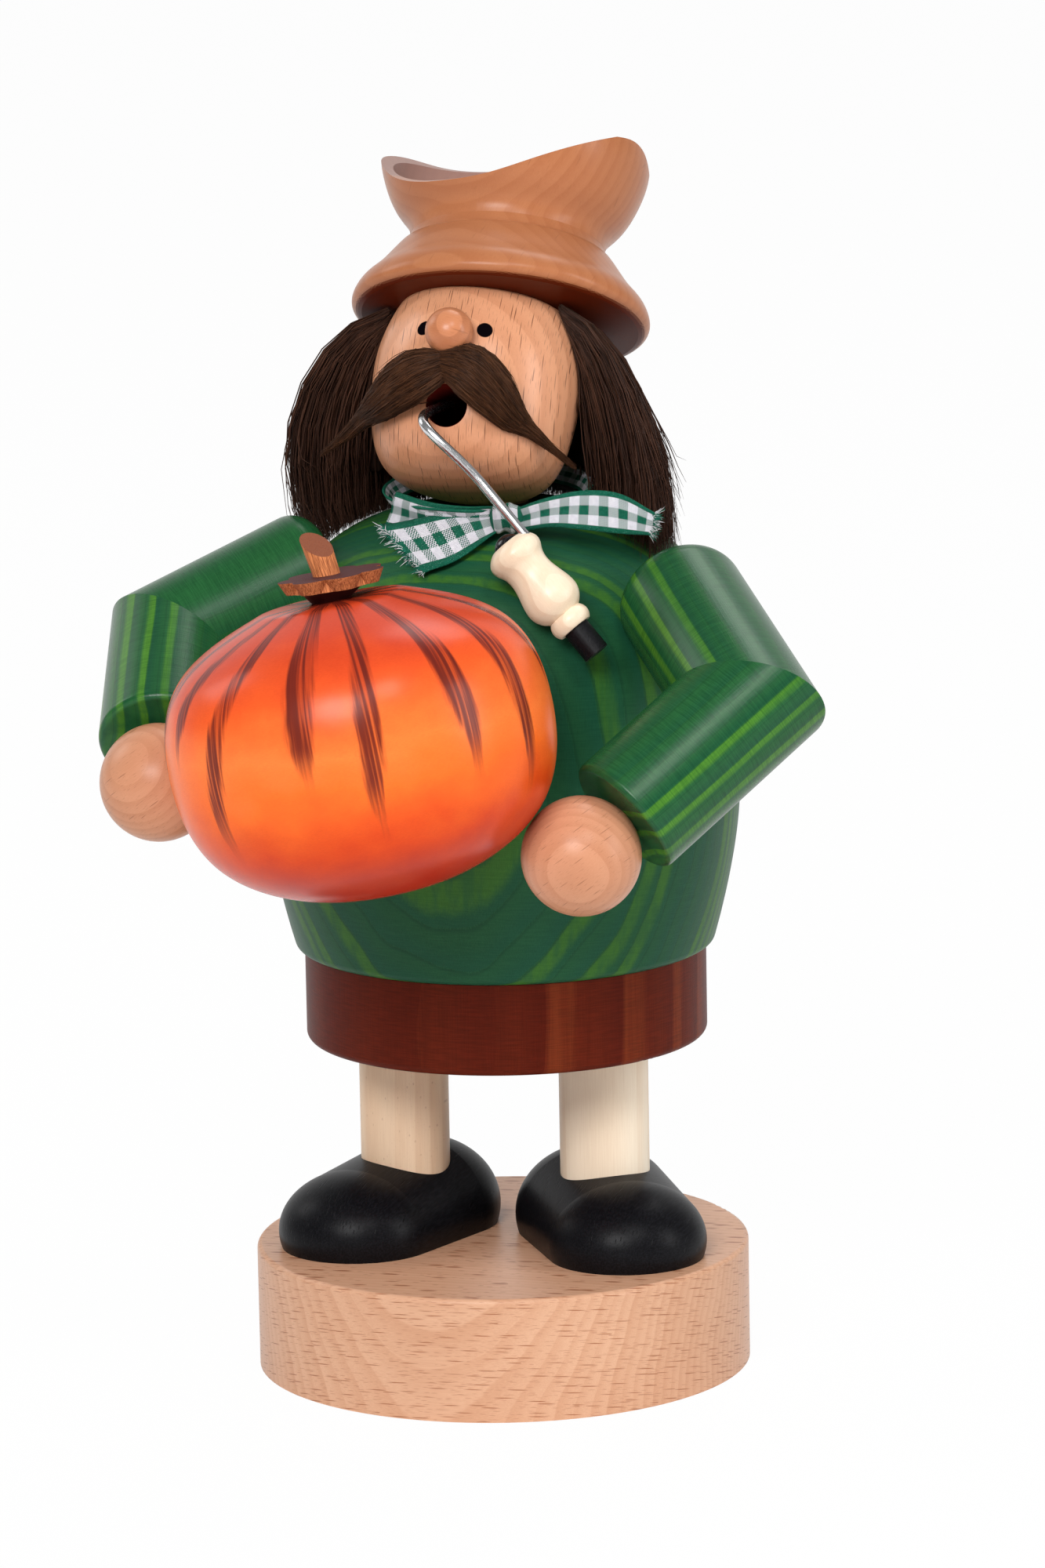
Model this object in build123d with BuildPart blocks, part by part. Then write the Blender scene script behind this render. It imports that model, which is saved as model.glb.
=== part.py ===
from build123d import *
import os
from math import cos, radians, sin

# Turned wooden incense smoker with a pumpkin, in millimetres.
# Origin: centre of the disc's underside. +Z is up, and the upper half faces -Y.
# Right and left are the figure's own: its right hand is on the -X side.
# Points given as (x, y, z) are measured from the figure's upright axis and the shelf.

# General fits
glue_gap = 0.05
rest_gap = 0.3
overrun = 2.0

# Disc
disc_radius = 40.0
disc_height = 20.0
disc_edge = 0.8

# Place of the figure on the disc, a little off its middle
figure_x = 1.3
figure_y = 0.4

# Legs
leg_radius = 7.25
leg_sink = 6.0
right_leg_place = (-17.6, -1.0)
left_leg_place = (16.0, 0.8)

# Shoes: a toe dome and a heel dome with a straight body between
shoe_toe_radius = 13.0
shoe_toe_height = 12.3
shoe_heel_radius = 13.2
shoe_heel_height = 14.3
shoe_length = 43.6
shoe_tuck = 16.0
right_shoe_toe = (-22.2, -11.4)
right_shoe_turn = -15.7
left_shoe_toe = (22.0, -7.2)
left_shoe_turn = 34.0

# Trousers, with the spigot that the jacket sits over
trousers_radius = 32.4
trousers_bottom = 54.2
trousers_edge = 1.2
waist_height = 69.0
spigot_radius = 24.0
spigot_height = 6.0
spigot_edge = 0.8
air_bore_radius = 6.0

# Cone plate and its nails
plate_radius = 17.0
plate_thick = 0.5
plate_hole_radius = 1.2
plate_hole_ring = 4.2
plate_hole_count = 6
nail_ring = 13.5
nail_count = 3
nail_radius = 0.6
nail_length = 6.0
nail_head_radius = 1.4
nail_head_thick = 0.6

# Jacket and its smoke chamber; outline shares are (of the belly radius, of the height)
jacket_top = 141.0
jacket_bottom_radius = 33.6
jacket_belly_radius = 38.2
jacket_belly_height = 94.0
jacket_neck_radius = 9.0
jacket_low_shares = ((0.96, 0.5), (1.0, 1.0))
jacket_high_shares = ((0.965, 0.36), (0.86, 0.72), (0.66, 0.89), (0.353, 0.985))
jacket_edge = 1.6
jacket_seat_gap = 0.1
spigot_clearance = 0.3
chamber_shoulder = 114.0
chamber_top = 122.0
chamber_funnel = 8.0
channel_radius = 3.5

# Arms: dowels mitred at the elbow, with a flat against the jacket
arm_radius = 10.1
cuff_edge = 1.0
shoulder_edge = 4.6
shoulder_share = 0.63
right_shoulder = (-22.4, -15.9, 132.8)
right_elbow = (-43.8, -31.2, 121.6)
right_wrist = (-38.35, -50.5, 109.2)
right_shoulder_turn = 212.0
left_shoulder = (33.7, -14.7, 130.7)
left_elbow = (52.4, -36.6, 116.6)
left_wrist = (37.2, -52.55, 101.25)
left_shoulder_turn = -30.0

# Hands and the hidden dowels of the arms
hand_radius = 9.2
hand_flat = 0.4
dowel_radius = 2.5
dowel_reach = 5.0

# Pumpkin; outline shares are (of the radius, of the half height)
pumpkin_radius = 29.6
pumpkin_half_height = 23.0
pumpkin_shares = (
    (0.08, -1.0), (0.48, -0.92), (0.86, -0.6), (1.0, 0.08), (0.82, 0.68), (0.42, 0.94), (0.12, 0.97)
)
pumpkin_centre = (0.5, -66.75, 113.9)
pumpkin_axis = (-0.193, -0.004, 0.981)
pumpkin_dowel_radius = 3.0
pumpkin_dowel_reach = 8.0
pumpkin_dowel_height = 111.0

# Pumpkin's leaf and stem
leaf_axis = (-0.158, 0, 1)
leaf_shift = 0.8
leaf_radius = 8.3
leaf_thick = 2.0
leaf_lobes = 7
leaf_lobe_radius = 3.0
leaf_lobe_low_radius = 2.0
leaf_lobe_turn = -14.0
leaf_bowl_radius = 6.0
leaf_hub_radius = 3.0
leaf_hub_height = 1.9
stem_radius = 2.0
stem_top_radius = 2.4
stem_length = 4.7
stem_axis = (-0.34, 0.02, 1)
stem_cut_axis = (0.35, -0.45, 1)

# Head, whose axis leans back; outline shares are of its radius
head_radius = 16.3
head_x = -0.9
head_y = -7.0
head_height = 158.0
head_lean = 27.0
head_shares = ((0, -0.94), (0.87, -0.66), (1.0, -0.12), (0.975, 0.5), (0.83, 0.87), (0.6, 1.05))
mouth_radius = 3.3
mouth_y = -24.2
mouth_height = 159.9
nose_radius = 3.8
nose_y = -21.4
nose_height = 170.9

# Neck tube
neck_tube_radius = 5.0
neck_tube_bottom = 131.0
neck_tube_top = 151.0

# Moustache: soft fur, as a plain closed form over the face
moustache_thick = 3.6
moustache_top = ((0, 2.4), (4.6, 2.2), (9.2, -1.4), (12.8, -7.0), (19.8, -13.2))
moustache_low = ((19.8, -13.2), (12.4, -11.6), (6.4, -8.6), (0, -3.4))

# Hair: soft fur, as a plain closed form; outline shares are (of the radius, of the rise)
hair_turn = 12.0
hair_bottom = 142.0
hair_top = 173.0
hair_bend_height = 150.0
hair_root_radius = 16.5
hair_inner_radius = 19.4
hair_radius = 29.4
hair_shares = ((0.82, 0.79), (0.97, 0.516), (1.0, 0.258), (0.96, 0))
hair_x = -1.4
hair_y = -5.0

# Neck ribbon; each station of an end is (point on the upper edge, point on the lower edge)
ribbon_y = -4.0
ribbon_height = 145.0
ribbon_lean = 9.0
ribbon_radius = 13.8
ribbon_flare = 3.4
ribbon_width = 3.2
ribbon_thick = 0.7
knot_width = 5.0
knot_height = 5.4
knot_depth = 4.6
knot_edge = 1.4
knot_place = (8.6, -20.4, 141.4)
tail_thick = 0.6
right_tail = (
    ((6.0, -18.6, 142.6), (7.2, -21.6, 139.4)),
    ((-0.3, -18.9, 141.9), (5.0, -24.8, 137.5)),
    ((-6.4, -19.2, 140.9), (1.6, -28.2, 135.4)),
    ((-13.3, -18.2, 139.4), (-2.2, -29.6, 133.9)),
)
left_tail = (
    ((31.0, -14.2, 142.2), (30.4, -15.4, 138.8)),
    ((26.0, -16.6, 145.4), (26.3, -17.8, 139.3)),
    ((20.6, -18.2, 146.0), (20.5, -19.4, 140.0)),
    ((15.4, -19.4, 145.0), (15.6, -20.4, 140.4)),
    ((9.8, -19.8, 143.0), (11.0, -21.0, 139.6)),
)

# Hat, pushed back on the head; outline shares are (of the radius, of the height)
hat_y = 3.1
hat_height = 169.0
hat_lean = 27.5
hat_tilt = -2.5
hat_radius = 23.8
hat_waist_radius = 15.6
hat_waist_height = 13.2
hat_crown_radius = 21.6
hat_peak = 39.0
hat_brim_shares = ((0.93, 0), (1.0, 0.09), (0.975, 0.27), (0.85, 0.53), (0.705, 0.81))
hat_crown_shares = (
    (0.83, 0.17), (0.955, 0.37), (1.0, 0.56), (0.96, 0.72), (0.86, 0.86), (0.72, 1.0)
)
hat_wall = 2.0
hat_floor = 16.0
hat_floor_share = 0.5
hat_dowel_radius = 3.0
hat_dowel_reach = 5.0

# Cut of the crown's rim, seen from the front: (x, height over the cut's level)
hat_cut_height = 193.0
hat_cut_slope = 3.5
hat_cut_line = (
    (-27.0, 3.5), (-22.7, 1.9), (-18.5, -0.3), (-12.5, -1.25), (-6.0, -0.75), (0.1, 0.3),
    (8.3, 2.95), (15.0, 5.1), (24.0, 6.5),
)

# Cut that rounds off the crown's peak, seen from the side it faces: (across, height over that level)
hat_peak_turn = 19.0
hat_peak_slope = 11.0
hat_peak_line = (
    (6.0, 5.5), (14.5, 5.0), (20.0, 5.25), (22.0, 4.8), (23.2, 3.8), (24.1, 1.8), (26.0, -4.0)
)

# Pipe
wire_radius = 0.78
wire_clearance = 0.06
wire_offset = 3.3
wire_sink = 3.0
wire_straight = 9.0
wire_curl = (2.2, 1.6)
pipe_x = -2.2
pipe_y = -31.2
pipe_height = 158.8
pipe_inner_y = -9.5
pipe_bend_y = -24.6
bowl_flange_radius = 4.5
bowl_belly_radius = 4.5
bowl_ring_radius = 3.35
bowl_neck_radius = 3.55
bowl_length = 16.9
bowl_flange_shares = ((0.6, 0), (1.0, 0.13), (0.93, 0.2))
bowl_neck_share = 0.34
bowl_belly_share = 0.63
bowl_ring_shares = ((0.83, 0.84), (1.0, 0.92), (0.83, 1.0))
bowl_top_x = 12.1
bowl_top_height = 139.25
bowl_slope = 49.0
cap_radius = 2.3
cap_height = 1.4
foot_radius = 2.15
foot_length = 5.1


# Working frames

def at(x, y, z):
    """A point given from the figure's upright axis."""
    return Vector(figure_x + x, figure_y + y, z)


def turned(centre, axis, front=(0, -1, 0)):
    """A frame whose z runs along a turning axis, with x as near the front as it can be."""
    axis = Vector(axis).normalized()
    side = axis.cross(Vector(front)).normalized()
    return Plane(origin=centre, x_dir=side.cross(axis), z_dir=axis)


def half(frame):
    """The plane of a turned profile: local x is the radius and local y runs along the axis."""
    return Plane(origin=frame.origin, x_dir=frame.x_dir, z_dir=-frame.y_dir)


def axis_of(frame):
    return Axis(frame.origin, frame.z_dir)


def along(frame, distance):
    return Plane(origin=frame.origin + frame.z_dir * distance, x_dir=frame.x_dir, z_dir=frame.z_dir)


def scaled(shares, radius, height, start=0.0):
    """The points of an outline whose shares are of a radius and of a height over a start."""
    return [(radius * r, start + height * h) for r, h in shares]


def save(built, name):
    built.part.label = name
    export_step(built.part, "parts/" + name + ".step")


def save_group(solids, name):
    group = Compound(children=solids, label=name)
    export_step(group, "parts/" + name + ".step")


os.makedirs("parts", exist_ok=True)
figure = Plane(at(0, 0, 0))


# Disc
with BuildPart() as base_disc:
    with BuildSketch(Plane.XY):
        Circle(disc_radius)
    extrude(amount=disc_height)
    fillet(base_disc.edges().group_by(Axis.Z)[-1], radius=disc_edge)
save(base_disc, "base_disc")


# Shoes
leg_socket = disc_height + leg_sink


def shoe_side(radius, height):
    """Half of a shoe's section: part of an ellipse, tucked in a little at the sole."""
    widest = height * sin(radians(shoe_tuck)) / (1 + sin(radians(shoe_tuck)))
    return EllipticalCenterArc(
        (0, widest), radius, height - widest, start_angle=-shoe_tuck, arc_size=90 + shoe_tuck
    )


def make_shoe(name, toe_place, turn, leg_place):
    ahead = Vector(sin(radians(turn)), -cos(radians(turn)), 0)
    across = Vector(ahead.Y, -ahead.X, 0)
    toe = at(*toe_place, disc_height)
    heel = toe - ahead * (shoe_length - shoe_toe_radius - shoe_heel_radius)
    ends = (
        (toe, across, shoe_toe_radius, shoe_toe_height),
        (heel, -across, shoe_heel_radius, shoe_heel_height),
    )
    with BuildPart() as shoe:
        sections = []
        for centre, start, radius, height in ends:
            end = Plane(origin=centre, x_dir=start, z_dir=(0, 0, 1))
            with BuildSketch(half(end)):
                with BuildLine():
                    side = shoe_side(radius, height)
                    Polyline(side @ 1, (0, 0), side @ 0)
                make_face()
            revolve(axis=axis_of(end), revolution_arc=180)
            upright = Plane(origin=centre, x_dir=across, z_dir=-ahead)
            with BuildSketch(upright, mode=Mode.PRIVATE) as section:
                with BuildLine():
                    side = shoe_side(radius, height)
                    mirror(side, about=Plane.YZ)
                    Line(side @ 0, (-(side @ 0).X, 0))
                make_face()
            sections.append(section.sketch.face())
        loft(sections=sections, ruled=True)
        with BuildSketch(Plane(at(*leg_place, leg_socket))):
            Circle(leg_radius + glue_gap)
        extrude(amount=shoe_heel_height, mode=Mode.SUBTRACT)
    save(shoe, name)
    return shoe


right_shoe = make_shoe("right_shoe", right_shoe_toe, right_shoe_turn, right_leg_place)
left_shoe = make_shoe("left_shoe", left_shoe_toe, left_shoe_turn, left_leg_place)


# Legs
def make_leg(name, place):
    with BuildPart() as leg:
        with BuildSketch(Plane(at(*place, leg_socket))):
            Circle(leg_radius)
        extrude(amount=trousers_bottom + leg_sink - leg_socket)
    save(leg, name)
    return leg


right_leg = make_leg("right_leg", right_leg_place)
left_leg = make_leg("left_leg", left_leg_place)


# Trousers
spigot_top = waist_height + spigot_height
with BuildPart() as trousers:
    with BuildSketch(figure.offset(trousers_bottom)):
        Circle(trousers_radius)
    extrude(amount=waist_height - trousers_bottom)
    fillet(trousers.edges().group_by(Axis.Z)[0], radius=trousers_edge)
    with BuildSketch(figure.offset(waist_height)):
        Circle(spigot_radius)
    extrude(amount=spigot_height)
    chamfer(trousers.edges().group_by(Axis.Z)[-1], length=spigot_edge)
    with BuildSketch(figure.offset(trousers_bottom)):
        Circle(air_bore_radius)
    extrude(amount=spigot_top - trousers_bottom, mode=Mode.SUBTRACT)
    with BuildSketch(figure.offset(trousers_bottom)):
        with Locations(right_leg_place, left_leg_place):
            Circle(leg_radius + glue_gap)
    extrude(amount=leg_sink, mode=Mode.SUBTRACT)
    with BuildSketch(figure.offset(spigot_top)):
        with PolarLocations(nail_ring, nail_count, start_angle=90):
            Circle(nail_radius + glue_gap)
    extrude(amount=-nail_length, mode=Mode.SUBTRACT)
save(trousers, "trousers")


# Cone plate and nails
plate_top = spigot_top + plate_thick
with BuildPart() as cone_plate:
    with BuildSketch(figure.offset(spigot_top)):
        Circle(plate_radius)
        with PolarLocations(plate_hole_ring, plate_hole_count):
            Circle(plate_hole_radius, mode=Mode.SUBTRACT)
        with PolarLocations(nail_ring, nail_count, start_angle=90):
            Circle(nail_radius + glue_gap, mode=Mode.SUBTRACT)
    extrude(amount=plate_thick)
save(cone_plate, "cone_plate")

with BuildPart() as plate_nails:
    with BuildSketch(figure.offset(plate_top)):
        with PolarLocations(nail_ring, nail_count, start_angle=90):
            Circle(nail_radius)
    extrude(amount=-nail_length)
    with BuildSketch(figure.offset(plate_top)):
        with PolarLocations(nail_ring, nail_count, start_angle=90):
            Circle(nail_head_radius)
    extrude(amount=nail_head_thick)
save(plate_nails, "plate_nails")


# Hidden dowels
def round_bar(place, reach, radius):
    """A round bar centred on a joint plane."""
    with BuildPart() as bar:
        with BuildSketch(along(place, -reach)):
            Circle(radius)
        extrude(amount=reach * 2)
    return bar.part


def bore_for(place, reach, radius):
    """The room that a dowel needs in the pieces it joins."""
    return round_bar(place, reach + glue_gap, radius + glue_gap)


# Jacket: a turned dome, hollow as the smoke chamber
jacket_seat = waist_height + jacket_seat_gap
jacket_outline = [(jacket_bottom_radius, jacket_seat)]
jacket_outline += scaled(
    jacket_low_shares, jacket_belly_radius, jacket_belly_height - jacket_seat, jacket_seat
)
jacket_outline += scaled(
    jacket_high_shares, jacket_belly_radius, jacket_top - jacket_belly_height, jacket_belly_height
)
jacket_outline.append((jacket_neck_radius, jacket_top))
jacket_side = Spline(*jacket_outline)
chamber_radius = spigot_radius + spigot_clearance


def shoulder_flat(turn):
    """The plane that touches the jacket at the shoulders' share of its outline."""
    touch, slope = jacket_side @ shoulder_share, jacket_side % shoulder_share
    outward = Vector(cos(radians(turn)), sin(radians(turn)), 0)
    normal = (outward * slope.Y + Vector(0, 0, -slope.X)).normalized()
    return Plane(origin=at(0, 0, touch.Y) + outward * touch.X + normal * glue_gap, z_dir=normal)


right_flat = shoulder_flat(right_shoulder_turn)
left_flat = shoulder_flat(left_shoulder_turn)
belly_place = Plane(
    origin=at(0, -jacket_belly_radius, pumpkin_dowel_height), x_dir=(1, 0, 0), z_dir=(0, -1, 0)
)
with BuildPart() as jacket:
    with BuildSketch(half(figure)):
        with BuildLine():
            add(jacket_side)
            Polyline(jacket_outline[-1], (0, jacket_top), (0, jacket_seat), jacket_outline[0])
        make_face()
    revolve(axis=axis_of(figure))
    fillet(jacket.edges().group_by(Axis.Z)[0], radius=jacket_edge)
    with BuildSketch(half(figure)):
        with BuildLine():
            Polyline(
                (0, jacket_seat), (chamber_radius, jacket_seat), (chamber_radius, chamber_shoulder),
                (chamber_radius - chamber_funnel, chamber_top), (0, chamber_top), (0, jacket_seat),
            )
        make_face()
    revolve(axis=axis_of(figure), mode=Mode.SUBTRACT)
    with BuildSketch(figure.offset(chamber_top)):
        Circle(channel_radius)
    extrude(amount=jacket_top - chamber_top, mode=Mode.SUBTRACT)
    with BuildSketch(figure.offset(neck_tube_bottom)):
        Circle(neck_tube_radius + glue_gap)
    extrude(amount=jacket_top - neck_tube_bottom, mode=Mode.SUBTRACT)
    add(bore_for(right_flat, dowel_reach, dowel_radius), mode=Mode.SUBTRACT)
    add(bore_for(left_flat, dowel_reach, dowel_radius), mode=Mode.SUBTRACT)
    add(bore_for(belly_place, pumpkin_dowel_reach, pumpkin_dowel_radius), mode=Mode.SUBTRACT)
save(jacket, "jacket")


# Arms
def make_arm(side, shoulder, elbow, wrist, flat):
    shoulder, elbow, wrist = at(*shoulder), at(*elbow), at(*wrist)
    upper = (elbow - shoulder).normalized()
    lower = (wrist - elbow).normalized()
    mitre = Plane(origin=elbow, z_dir=(upper + lower).normalized())
    palm = Plane(origin=wrist, z_dir=lower)
    slant = arm_radius * 2

    with BuildPart() as upper_arm:
        with BuildSketch(Plane(origin=shoulder, z_dir=upper)):
            Circle(arm_radius)
        extrude(amount=(elbow - shoulder).length + slant)
        fillet(upper_arm.faces().sort_by(Axis(shoulder, upper))[0].edges(), radius=shoulder_edge)
        split(bisect_by=mitre, keep=Keep.BOTTOM)
        split(bisect_by=flat, keep=Keep.TOP)
        add(bore_for(flat, dowel_reach, dowel_radius), mode=Mode.SUBTRACT)
        add(bore_for(mitre, dowel_reach, dowel_radius), mode=Mode.SUBTRACT)
    save(upper_arm, side + "_upper_arm")
    with BuildPart() as forearm:
        with BuildSketch(Plane(origin=wrist, z_dir=-lower)):
            Circle(arm_radius)
        extrude(amount=(wrist - elbow).length + slant)
        fillet(forearm.faces().sort_by(Axis(wrist, -lower))[0].edges(), radius=cuff_edge)
        split(bisect_by=mitre, keep=Keep.TOP)
        add(bore_for(mitre, dowel_reach, dowel_radius), mode=Mode.SUBTRACT)
        add(bore_for(palm, dowel_reach, dowel_radius), mode=Mode.SUBTRACT)
    save(forearm, side + "_forearm")
    with BuildPart() as hand:
        with Locations(Location(wrist + lower * (hand_radius - hand_flat))):
            Sphere(hand_radius)
        split(bisect_by=palm, keep=Keep.TOP)
        add(bore_for(palm, dowel_reach, dowel_radius), mode=Mode.SUBTRACT)
    save(hand, side + "_hand")
    return [round_bar(place, dowel_reach, dowel_radius) for place in (flat, mitre, palm)]


right_pins = make_arm("right", right_shoulder, right_elbow, right_wrist, right_flat)
left_pins = make_arm("left", left_shoulder, left_elbow, left_wrist, left_flat)
for index, joint in enumerate(("shoulder", "elbow", "wrist")):
    save_group([right_pins[index], left_pins[index]], joint + "_dowels")


# Pumpkin
pumpkin_frame = turned(at(*pumpkin_centre), pumpkin_axis)
pumpkin_outline = scaled(pumpkin_shares, pumpkin_radius, pumpkin_half_height)
pumpkin_low, pumpkin_high = pumpkin_outline[0], pumpkin_outline[-1]
with BuildPart() as pumpkin:
    with BuildSketch(half(pumpkin_frame)):
        with BuildLine():
            Spline(*pumpkin_outline, tangents=[(1, 0), (-1, 0)])
            Polyline(pumpkin_high, (0, pumpkin_high[1]), (0, pumpkin_low[1]), pumpkin_low)
        make_face()
    revolve(axis=axis_of(pumpkin_frame))
    add(bore_for(belly_place, pumpkin_dowel_reach, pumpkin_dowel_radius), mode=Mode.SUBTRACT)
save(pumpkin, "pumpkin")

with BuildPart() as pumpkin_dowel:
    add(round_bar(belly_place, pumpkin_dowel_reach, pumpkin_dowel_radius))
save(pumpkin_dowel, "pumpkin_dowel")


# Pumpkin's leaf: lobes that narrow downwards round a disc, on a bowl-shaped hub
pumpkin_crown = along(pumpkin_frame, pumpkin_high[1])
leaf_seat = turned(along(pumpkin_crown, leaf_hub_height).origin, leaf_axis)
leaf_frame = Plane(
    origin=leaf_seat.origin + leaf_seat.y_dir * leaf_shift, x_dir=leaf_seat.x_dir, z_dir=leaf_seat.z_dir
)
leaf_lobe_place = leaf_radius - leaf_lobe_radius
with BuildPart() as pumpkin_leaf:
    with BuildSketch(leaf_frame):
        Circle(leaf_lobe_place + leaf_lobe_low_radius / 2)
    extrude(amount=leaf_thick)
    for index in range(leaf_lobes):
        turn = radians(leaf_lobe_turn + index * 360 / leaf_lobes)
        ahead = leaf_frame.x_dir * cos(turn) + leaf_frame.y_dir * sin(turn)
        lobe = Plane(origin=leaf_frame.origin + ahead * leaf_lobe_place, z_dir=leaf_frame.z_dir)
        with BuildSketch(lobe):
            Circle(leaf_lobe_low_radius)
        with BuildSketch(lobe.offset(leaf_thick)):
            Circle(leaf_lobe_radius)
        loft()
    with BuildSketch(pumpkin_crown):
        Circle(leaf_hub_radius)
    with BuildSketch(along(leaf_frame, leaf_thick / 2)):
        Circle(leaf_bowl_radius)
    loft()
save(pumpkin_leaf, "pumpkin_leaf")


# Pumpkin's stem: a short taper that leans over and is cut off aslant
stem_foot = along(leaf_seat, leaf_thick)
stem_frame = turned(stem_foot.origin, stem_axis)
stem_end = along(stem_frame, stem_length)
with BuildPart() as pumpkin_stem:
    with BuildSketch(along(stem_frame, -stem_radius)):
        Circle(stem_radius)
    with BuildSketch(along(stem_end, stem_top_radius * 2)):
        Circle(stem_top_radius)
    loft()
    split(bisect_by=stem_foot, keep=Keep.TOP)
    split(bisect_by=Plane(origin=stem_end.origin, z_dir=stem_cut_axis), keep=Keep.BOTTOM)
save(pumpkin_stem, "pumpkin_stem")


# Head
head_axis = Vector(0, sin(radians(head_lean)), cos(radians(head_lean)))
head_frame = turned(at(head_x, head_y, head_height), head_axis)


def turned_head(grow=0.0):
    """The head's whole form, grown for what lies on it."""
    points = scaled(head_shares, head_radius + grow, head_radius + grow)
    with BuildPart() as form:
        with BuildSketch(half(head_frame)):
            with BuildLine():
                Spline(*points, tangents=[(1, 0), (-1, 1)])
                Polyline(points[-1], (0, points[-1][1]), points[0])
            make_face()
        revolve(axis=axis_of(head_frame))
    return form.part


hat_axis = Vector(
    sin(radians(hat_tilt)), sin(radians(hat_lean)) * cos(radians(hat_tilt)),
    cos(radians(hat_lean)) * cos(radians(hat_tilt)),
)
hat_frame = turned(at(0, hat_y, hat_height), hat_axis)
mouth = Plane(origin=at(0, mouth_y, mouth_height), z_dir=head_frame.x_dir)
wire_seat = Plane(origin=at(pipe_x, pipe_inner_y, pipe_height), x_dir=(1, 0, 0), z_dir=(0, -1, 0))
with BuildPart() as head:
    add(turned_head())
    split(bisect_by=hat_frame, keep=Keep.BOTTOM)
    split(bisect_by=figure.offset(jacket_top + glue_gap), keep=Keep.TOP)
    with BuildSketch(figure.offset(jacket_top - overrun)):
        Circle(channel_radius)
    extrude(amount=mouth_height - jacket_top + overrun, mode=Mode.SUBTRACT)
    with BuildSketch(figure.offset(jacket_top - overrun)):
        Circle(neck_tube_radius + glue_gap)
    extrude(amount=neck_tube_top - jacket_top + overrun, mode=Mode.SUBTRACT)
    with BuildSketch(mouth.offset(overrun)):
        Circle(mouth_radius)
    extrude(amount=-(head_radius + overrun + channel_radius), mode=Mode.SUBTRACT)
    with Locations(Location(at(0, nose_y, nose_height))):
        Sphere(nose_radius + glue_gap, mode=Mode.SUBTRACT)
    with BuildSketch(wire_seat.offset(-rest_gap)):
        Circle(wire_radius + wire_clearance)
    extrude(amount=head_radius, mode=Mode.SUBTRACT)
    add(bore_for(hat_frame, hat_dowel_reach, hat_dowel_radius), mode=Mode.SUBTRACT)
save(head, "head")

with BuildPart() as neck_tube:
    with BuildSketch(figure.offset(neck_tube_bottom)):
        Circle(neck_tube_radius)
        Circle(channel_radius, mode=Mode.SUBTRACT)
    extrude(amount=neck_tube_top - neck_tube_bottom)
save(neck_tube, "neck_tube")

with BuildPart() as nose:
    with Locations(Location(at(0, nose_y, nose_height))):
        Sphere(nose_radius)
save(nose, "nose")


# Hat
hat_waist = (hat_waist_radius, hat_waist_height)
crown_outline = [hat_waist]
crown_outline += scaled(
    hat_crown_shares, hat_crown_radius, hat_peak - hat_waist_height, hat_waist_height
)
hollow_outline = [(r - hat_wall, h) for r, h in crown_outline[:1:-1]]
hollow_outline += [(hat_crown_radius * hat_floor_share, hat_floor + hat_wall), (0, hat_floor)]
brim_outline = scaled(hat_brim_shares, hat_radius, hat_waist_height)
cut_reach = hat_crown_radius * 2


def cut_place(turn, slope):
    """A plane over the crown that faces the way a cut is seen, for the line of that cut."""
    turn, slope = radians(turn), radians(slope)
    facing = (sin(turn) * cos(slope), -cos(turn) * cos(slope), sin(slope))
    return Plane(origin=at(0, hat_y, hat_cut_height), x_dir=(cos(turn), sin(turn), 0), z_dir=facing)


def waste_over(place, line):
    """The wood that is sawn off above a line."""
    with BuildPart() as waste:
        with BuildSketch(place):
            with BuildLine():
                Spline(*line)
                Polyline(line[-1], (line[-1][0], cut_reach), (line[0][0], cut_reach), line[0])
            make_face()
        extrude(amount=cut_reach, both=True)
    return waste.part


rim_waste = waste_over(cut_place(0, hat_cut_slope), hat_cut_line)
peak_waste = waste_over(cut_place(hat_peak_turn, hat_peak_slope), hat_peak_line)
with BuildPart() as hat:
    with BuildSketch(half(hat_frame)):
        with BuildLine():
            Spline(*crown_outline, tangents=[(0, 1), (-0.6, 1)])
            Line(crown_outline[-1], hollow_outline[0])
            Spline(*hollow_outline, tangents=[(0.6, -1), (-1, 0)])
            Polyline(hollow_outline[-1], (0, 0), brim_outline[0])
            Spline(*brim_outline, hat_waist, tangents=[(1, 0.3), (-0.4, 1)])
        make_face()
    revolve(axis=axis_of(hat_frame))
    add(rim_waste, mode=Mode.SUBTRACT)
    add(peak_waste, mode=Mode.SUBTRACT)
    add(bore_for(hat_frame, hat_dowel_reach, hat_dowel_radius), mode=Mode.SUBTRACT)
save(hat, "hat")

with BuildPart() as hat_dowel:
    add(round_bar(hat_frame, hat_dowel_reach, hat_dowel_radius))
save(hat_dowel, "hat_dowel")


# Moustache: two drooping lobes that follow the face and leave the nose free
face = Plane(origin=head_frame.origin, x_dir=head_frame.y_dir, z_dir=head_frame.x_dir)
nose_place = face.to_local_coords(at(0, nose_y, nose_height))
head_room = turned_head(rest_gap)
with BuildPart() as moustache:
    add(turned_head(moustache_thick))
    with BuildSketch(face):
        with BuildLine():
            Spline(*moustache_top, tangents=[(1, 0), (1, -0.4)])
            Spline(*moustache_low, tangents=[(-1, -0.1), (-1, 1)])
            mirror(about=Plane.YZ)
        make_face()
        with Locations((nose_place.X, nose_place.Y)):
            Circle(nose_radius + rest_gap, mode=Mode.SUBTRACT)
    extrude(amount=head_radius * 2, mode=Mode.INTERSECT)
    add(head_room, mode=Mode.SUBTRACT)
save(moustache, "moustache")


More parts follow.
